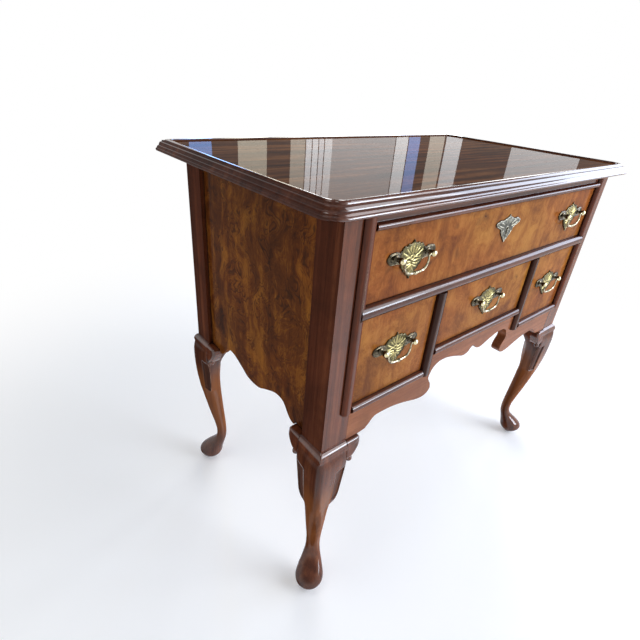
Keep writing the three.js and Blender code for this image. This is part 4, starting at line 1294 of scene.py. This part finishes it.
def addCamera():
    data = bpy.data.cameras.new("camera")
    data.lens = viewLook["lens"]
    data.sensor_width = viewLook["sensor"]
    data.clip_start = viewLook["nearest"]
    camera = linked("camera", data)
    right, down, ahead = (
        Vector(viewLook[name]).normalized() for name in ("right", "down", "ahead"))
    turn = Matrix((right, -down, -ahead)).transposed().to_4x4()
    camera.matrix_world = Matrix.Translation(Vector(viewLook["place"])) @ turn
    bpy.context.scene.camera = camera


lampLook = [
    {"name": "frontWindow", "from": (2.0, -2.75, 2.15), "at": (0.0, 0.0, 0.45),
     "size": (2.3, 3.5), "watts": 96, "colour": (0.93, 0.95, 1.0)},
    {"name": "lowWindow", "from": (1.86, -2.86, 0.95), "at": (-0.3, -0.2, 0.2),
     "size": (1.3, 0.9), "watts": 46, "colour": (0.7, 0.83, 1.0)},
    {"name": "rightWindow", "from": (3.7, -1.25, 1.55), "at": (0.1, -0.1, 0.5),
     "size": (3.0, 1.6), "watts": 92, "colour": (0.7, 0.8, 1.0)},
    {"name": "roomLamp", "from": (-1.2, 0.3, 3.2), "at": (0.0, 0.0, 0.6),
     "size": (1.2, 1.2), "watts": 14, "colour": (1.0, 0.98, 0.95)},
]
# upright window lights behind, that the polished top reflects: the bearing where each starts and
# ends, in degrees east of straight back from the camera, its radiance and its colour
windowLook = [
    (23.9, 26.5, 9.0, (0.2, 0.45, 1.0)), (29.6, 33.1, 5.8, (1.0, 0.94, 0.76)),
    (36.0, 37.8, 5.4, (1.0, 0.94, 0.8)), (37.9, 38.6, 10.5, (0.94, 0.97, 1.0)),
    (38.7, 39.4, 11.0, (0.94, 0.97, 1.0)), (39.5, 40.1, 10.0, (0.95, 0.97, 1.0)),
    (40.2, 41.1, 10.5, (0.95, 0.98, 1.0)), (41.1, 48.7, 5.4, (0.98, 0.98, 0.98)),
    (48.8, 50.2, 10.0, (0.95, 0.98, 1.0)), (50.3, 51.6, 7.6, (0.32, 0.5, 1.0)),
    (52.7, 54.4, 5.6, (1.0, 0.95, 0.82)), (54.6, 56.4, 8.0, (0.93, 0.97, 1.0)),
    (61.9, 69.0, 6.0, (0.95, 0.98, 1.0)),
]
windowSet = {"distance": 4.2, "low": 0.2, "high": 2.3}


def addLamp(name, place, toward, size, watts, colour):
    data = bpy.data.lights.new(name, "AREA")
    data.shape = "RECTANGLE"
    data.size, data.size_y = size
    data.energy = watts
    data.color = colour
    lamp = linked(name, data)
    lamp.location = place
    lamp.rotation_euler = toward.to_track_quat("-Z", "Y").to_euler()
    lamp.visible_camera = False


def addLamps():
    for look in lampLook:
        toward = Vector(look["at"]) - Vector(look["from"])
        addLamp(look["name"], look["from"], toward, look["size"], look["watts"], look["colour"])
    camera = Vector(viewLook["place"])
    distance, height = windowSet["distance"], windowSet["high"] - windowSet["low"]
    for number, (start, end, radiance, colour) in enumerate(windowLook):
        bearing = math.radians((start + end) / 2)
        away = Vector((math.sin(bearing), math.cos(bearing), 0))
        middle = camera + away * distance
        middle.z = (windowSet["low"] + windowSet["high"]) / 2
        width = 2 * distance * math.tan(math.radians(end - start) / 2)
        watts = radiance * math.pi * width * height
        addLamp("windowLamp%d" % number, middle, -away, (width, height), watts, colour)


roomLook = {"fill": 0.3, "fillColour": (0.93, 0.96, 1.0), "whiteTo": 0.16, "fadeTo": 0.6}
plainWhite = (1, 1, 1, 1)


def addWorld():
    # a white backdrop; what is polished also shows the plain room above it
    look = roomLook
    world = bpy.data.worlds.new("paleRoom")
    world.use_nodes = True
    bpy.context.scene.world = world
    world.node_tree.nodes.clear()
    w = Wiring(world.node_tree)
    camera, mirrored = w.rays()
    facing = w.add("ShaderNodeTexCoord").outputs["Generated"]
    height = w.add("ShaderNodeSeparateXYZ", {"Vector": facing}).outputs["Z"]
    backdropShare = w.span(height, look["whiteTo"], look["fadeTo"], 1, 0)
    seen = w.math("MAXIMUM", camera, w.times(mirrored, backdropShare))
    room, backdrop = (
        w.add("ShaderNodeBackground", {"Color": colour, "Strength": strength}).outputs[0]
        for colour, strength in (((*look["fillColour"], 1), look["fill"]), (plainWhite, 1.0)))
    w.add("ShaderNodeOutputWorld", {"Surface": w.blended(seen, room, backdrop)})


floorLook = {"size": 80, "colour": 0.88, "roughness": 0.9, "nearRadius": 0.6, "farRadius": 1.7,
             "lift": 0.14}


def addFloor():
    # its own lit colour near the piece, turning into the white of the backdrop farther off
    look = floorLook
    bpy.ops.object.select_all(action="DESELECT")
    bpy.ops.mesh.primitive_plane_add(size=look["size"], location=(0, 0, cadBounds[0][2]))
    floor = bpy.context.object
    floor.name = "floor"
    material, w, shader = newMaterial("paleFloor")
    seen = w.math("MAXIMUM", *w.rays())
    w.give(shader, {"Base Color": (*[look["colour"]] * 3, 1), "Roughness": look["roughness"],
                    "Emission Color": plainWhite, "Emission Strength": w.times(seen, look["lift"])})
    place = w.vector("MULTIPLY", w.add("ShaderNodeTexCoord").outputs["Object"], (1, 1, 0))
    distance = w.add("ShaderNodeVectorMath", {0: place}, operation="LENGTH").outputs["Value"]
    far = w.span(distance, look["nearRadius"], look["farRadius"])
    glow = w.add("ShaderNodeEmission", {"Color": plainWhite, "Strength": 1.0})
    out = next(node for node in material.node_tree.nodes if node.type == "OUTPUT_MATERIAL")
    w.give(out, {"Surface": w.blended(w.times(far, seen), shader.outputs[0], glow.outputs[0])})
    floor.data.materials.append(material)
    settle(floor)


addCamera()
addLamps()
addWorld()
addFloor()
bpy.context.scene.view_settings.view_transform = "Standard"
print("camera, lamps, room and floor set")
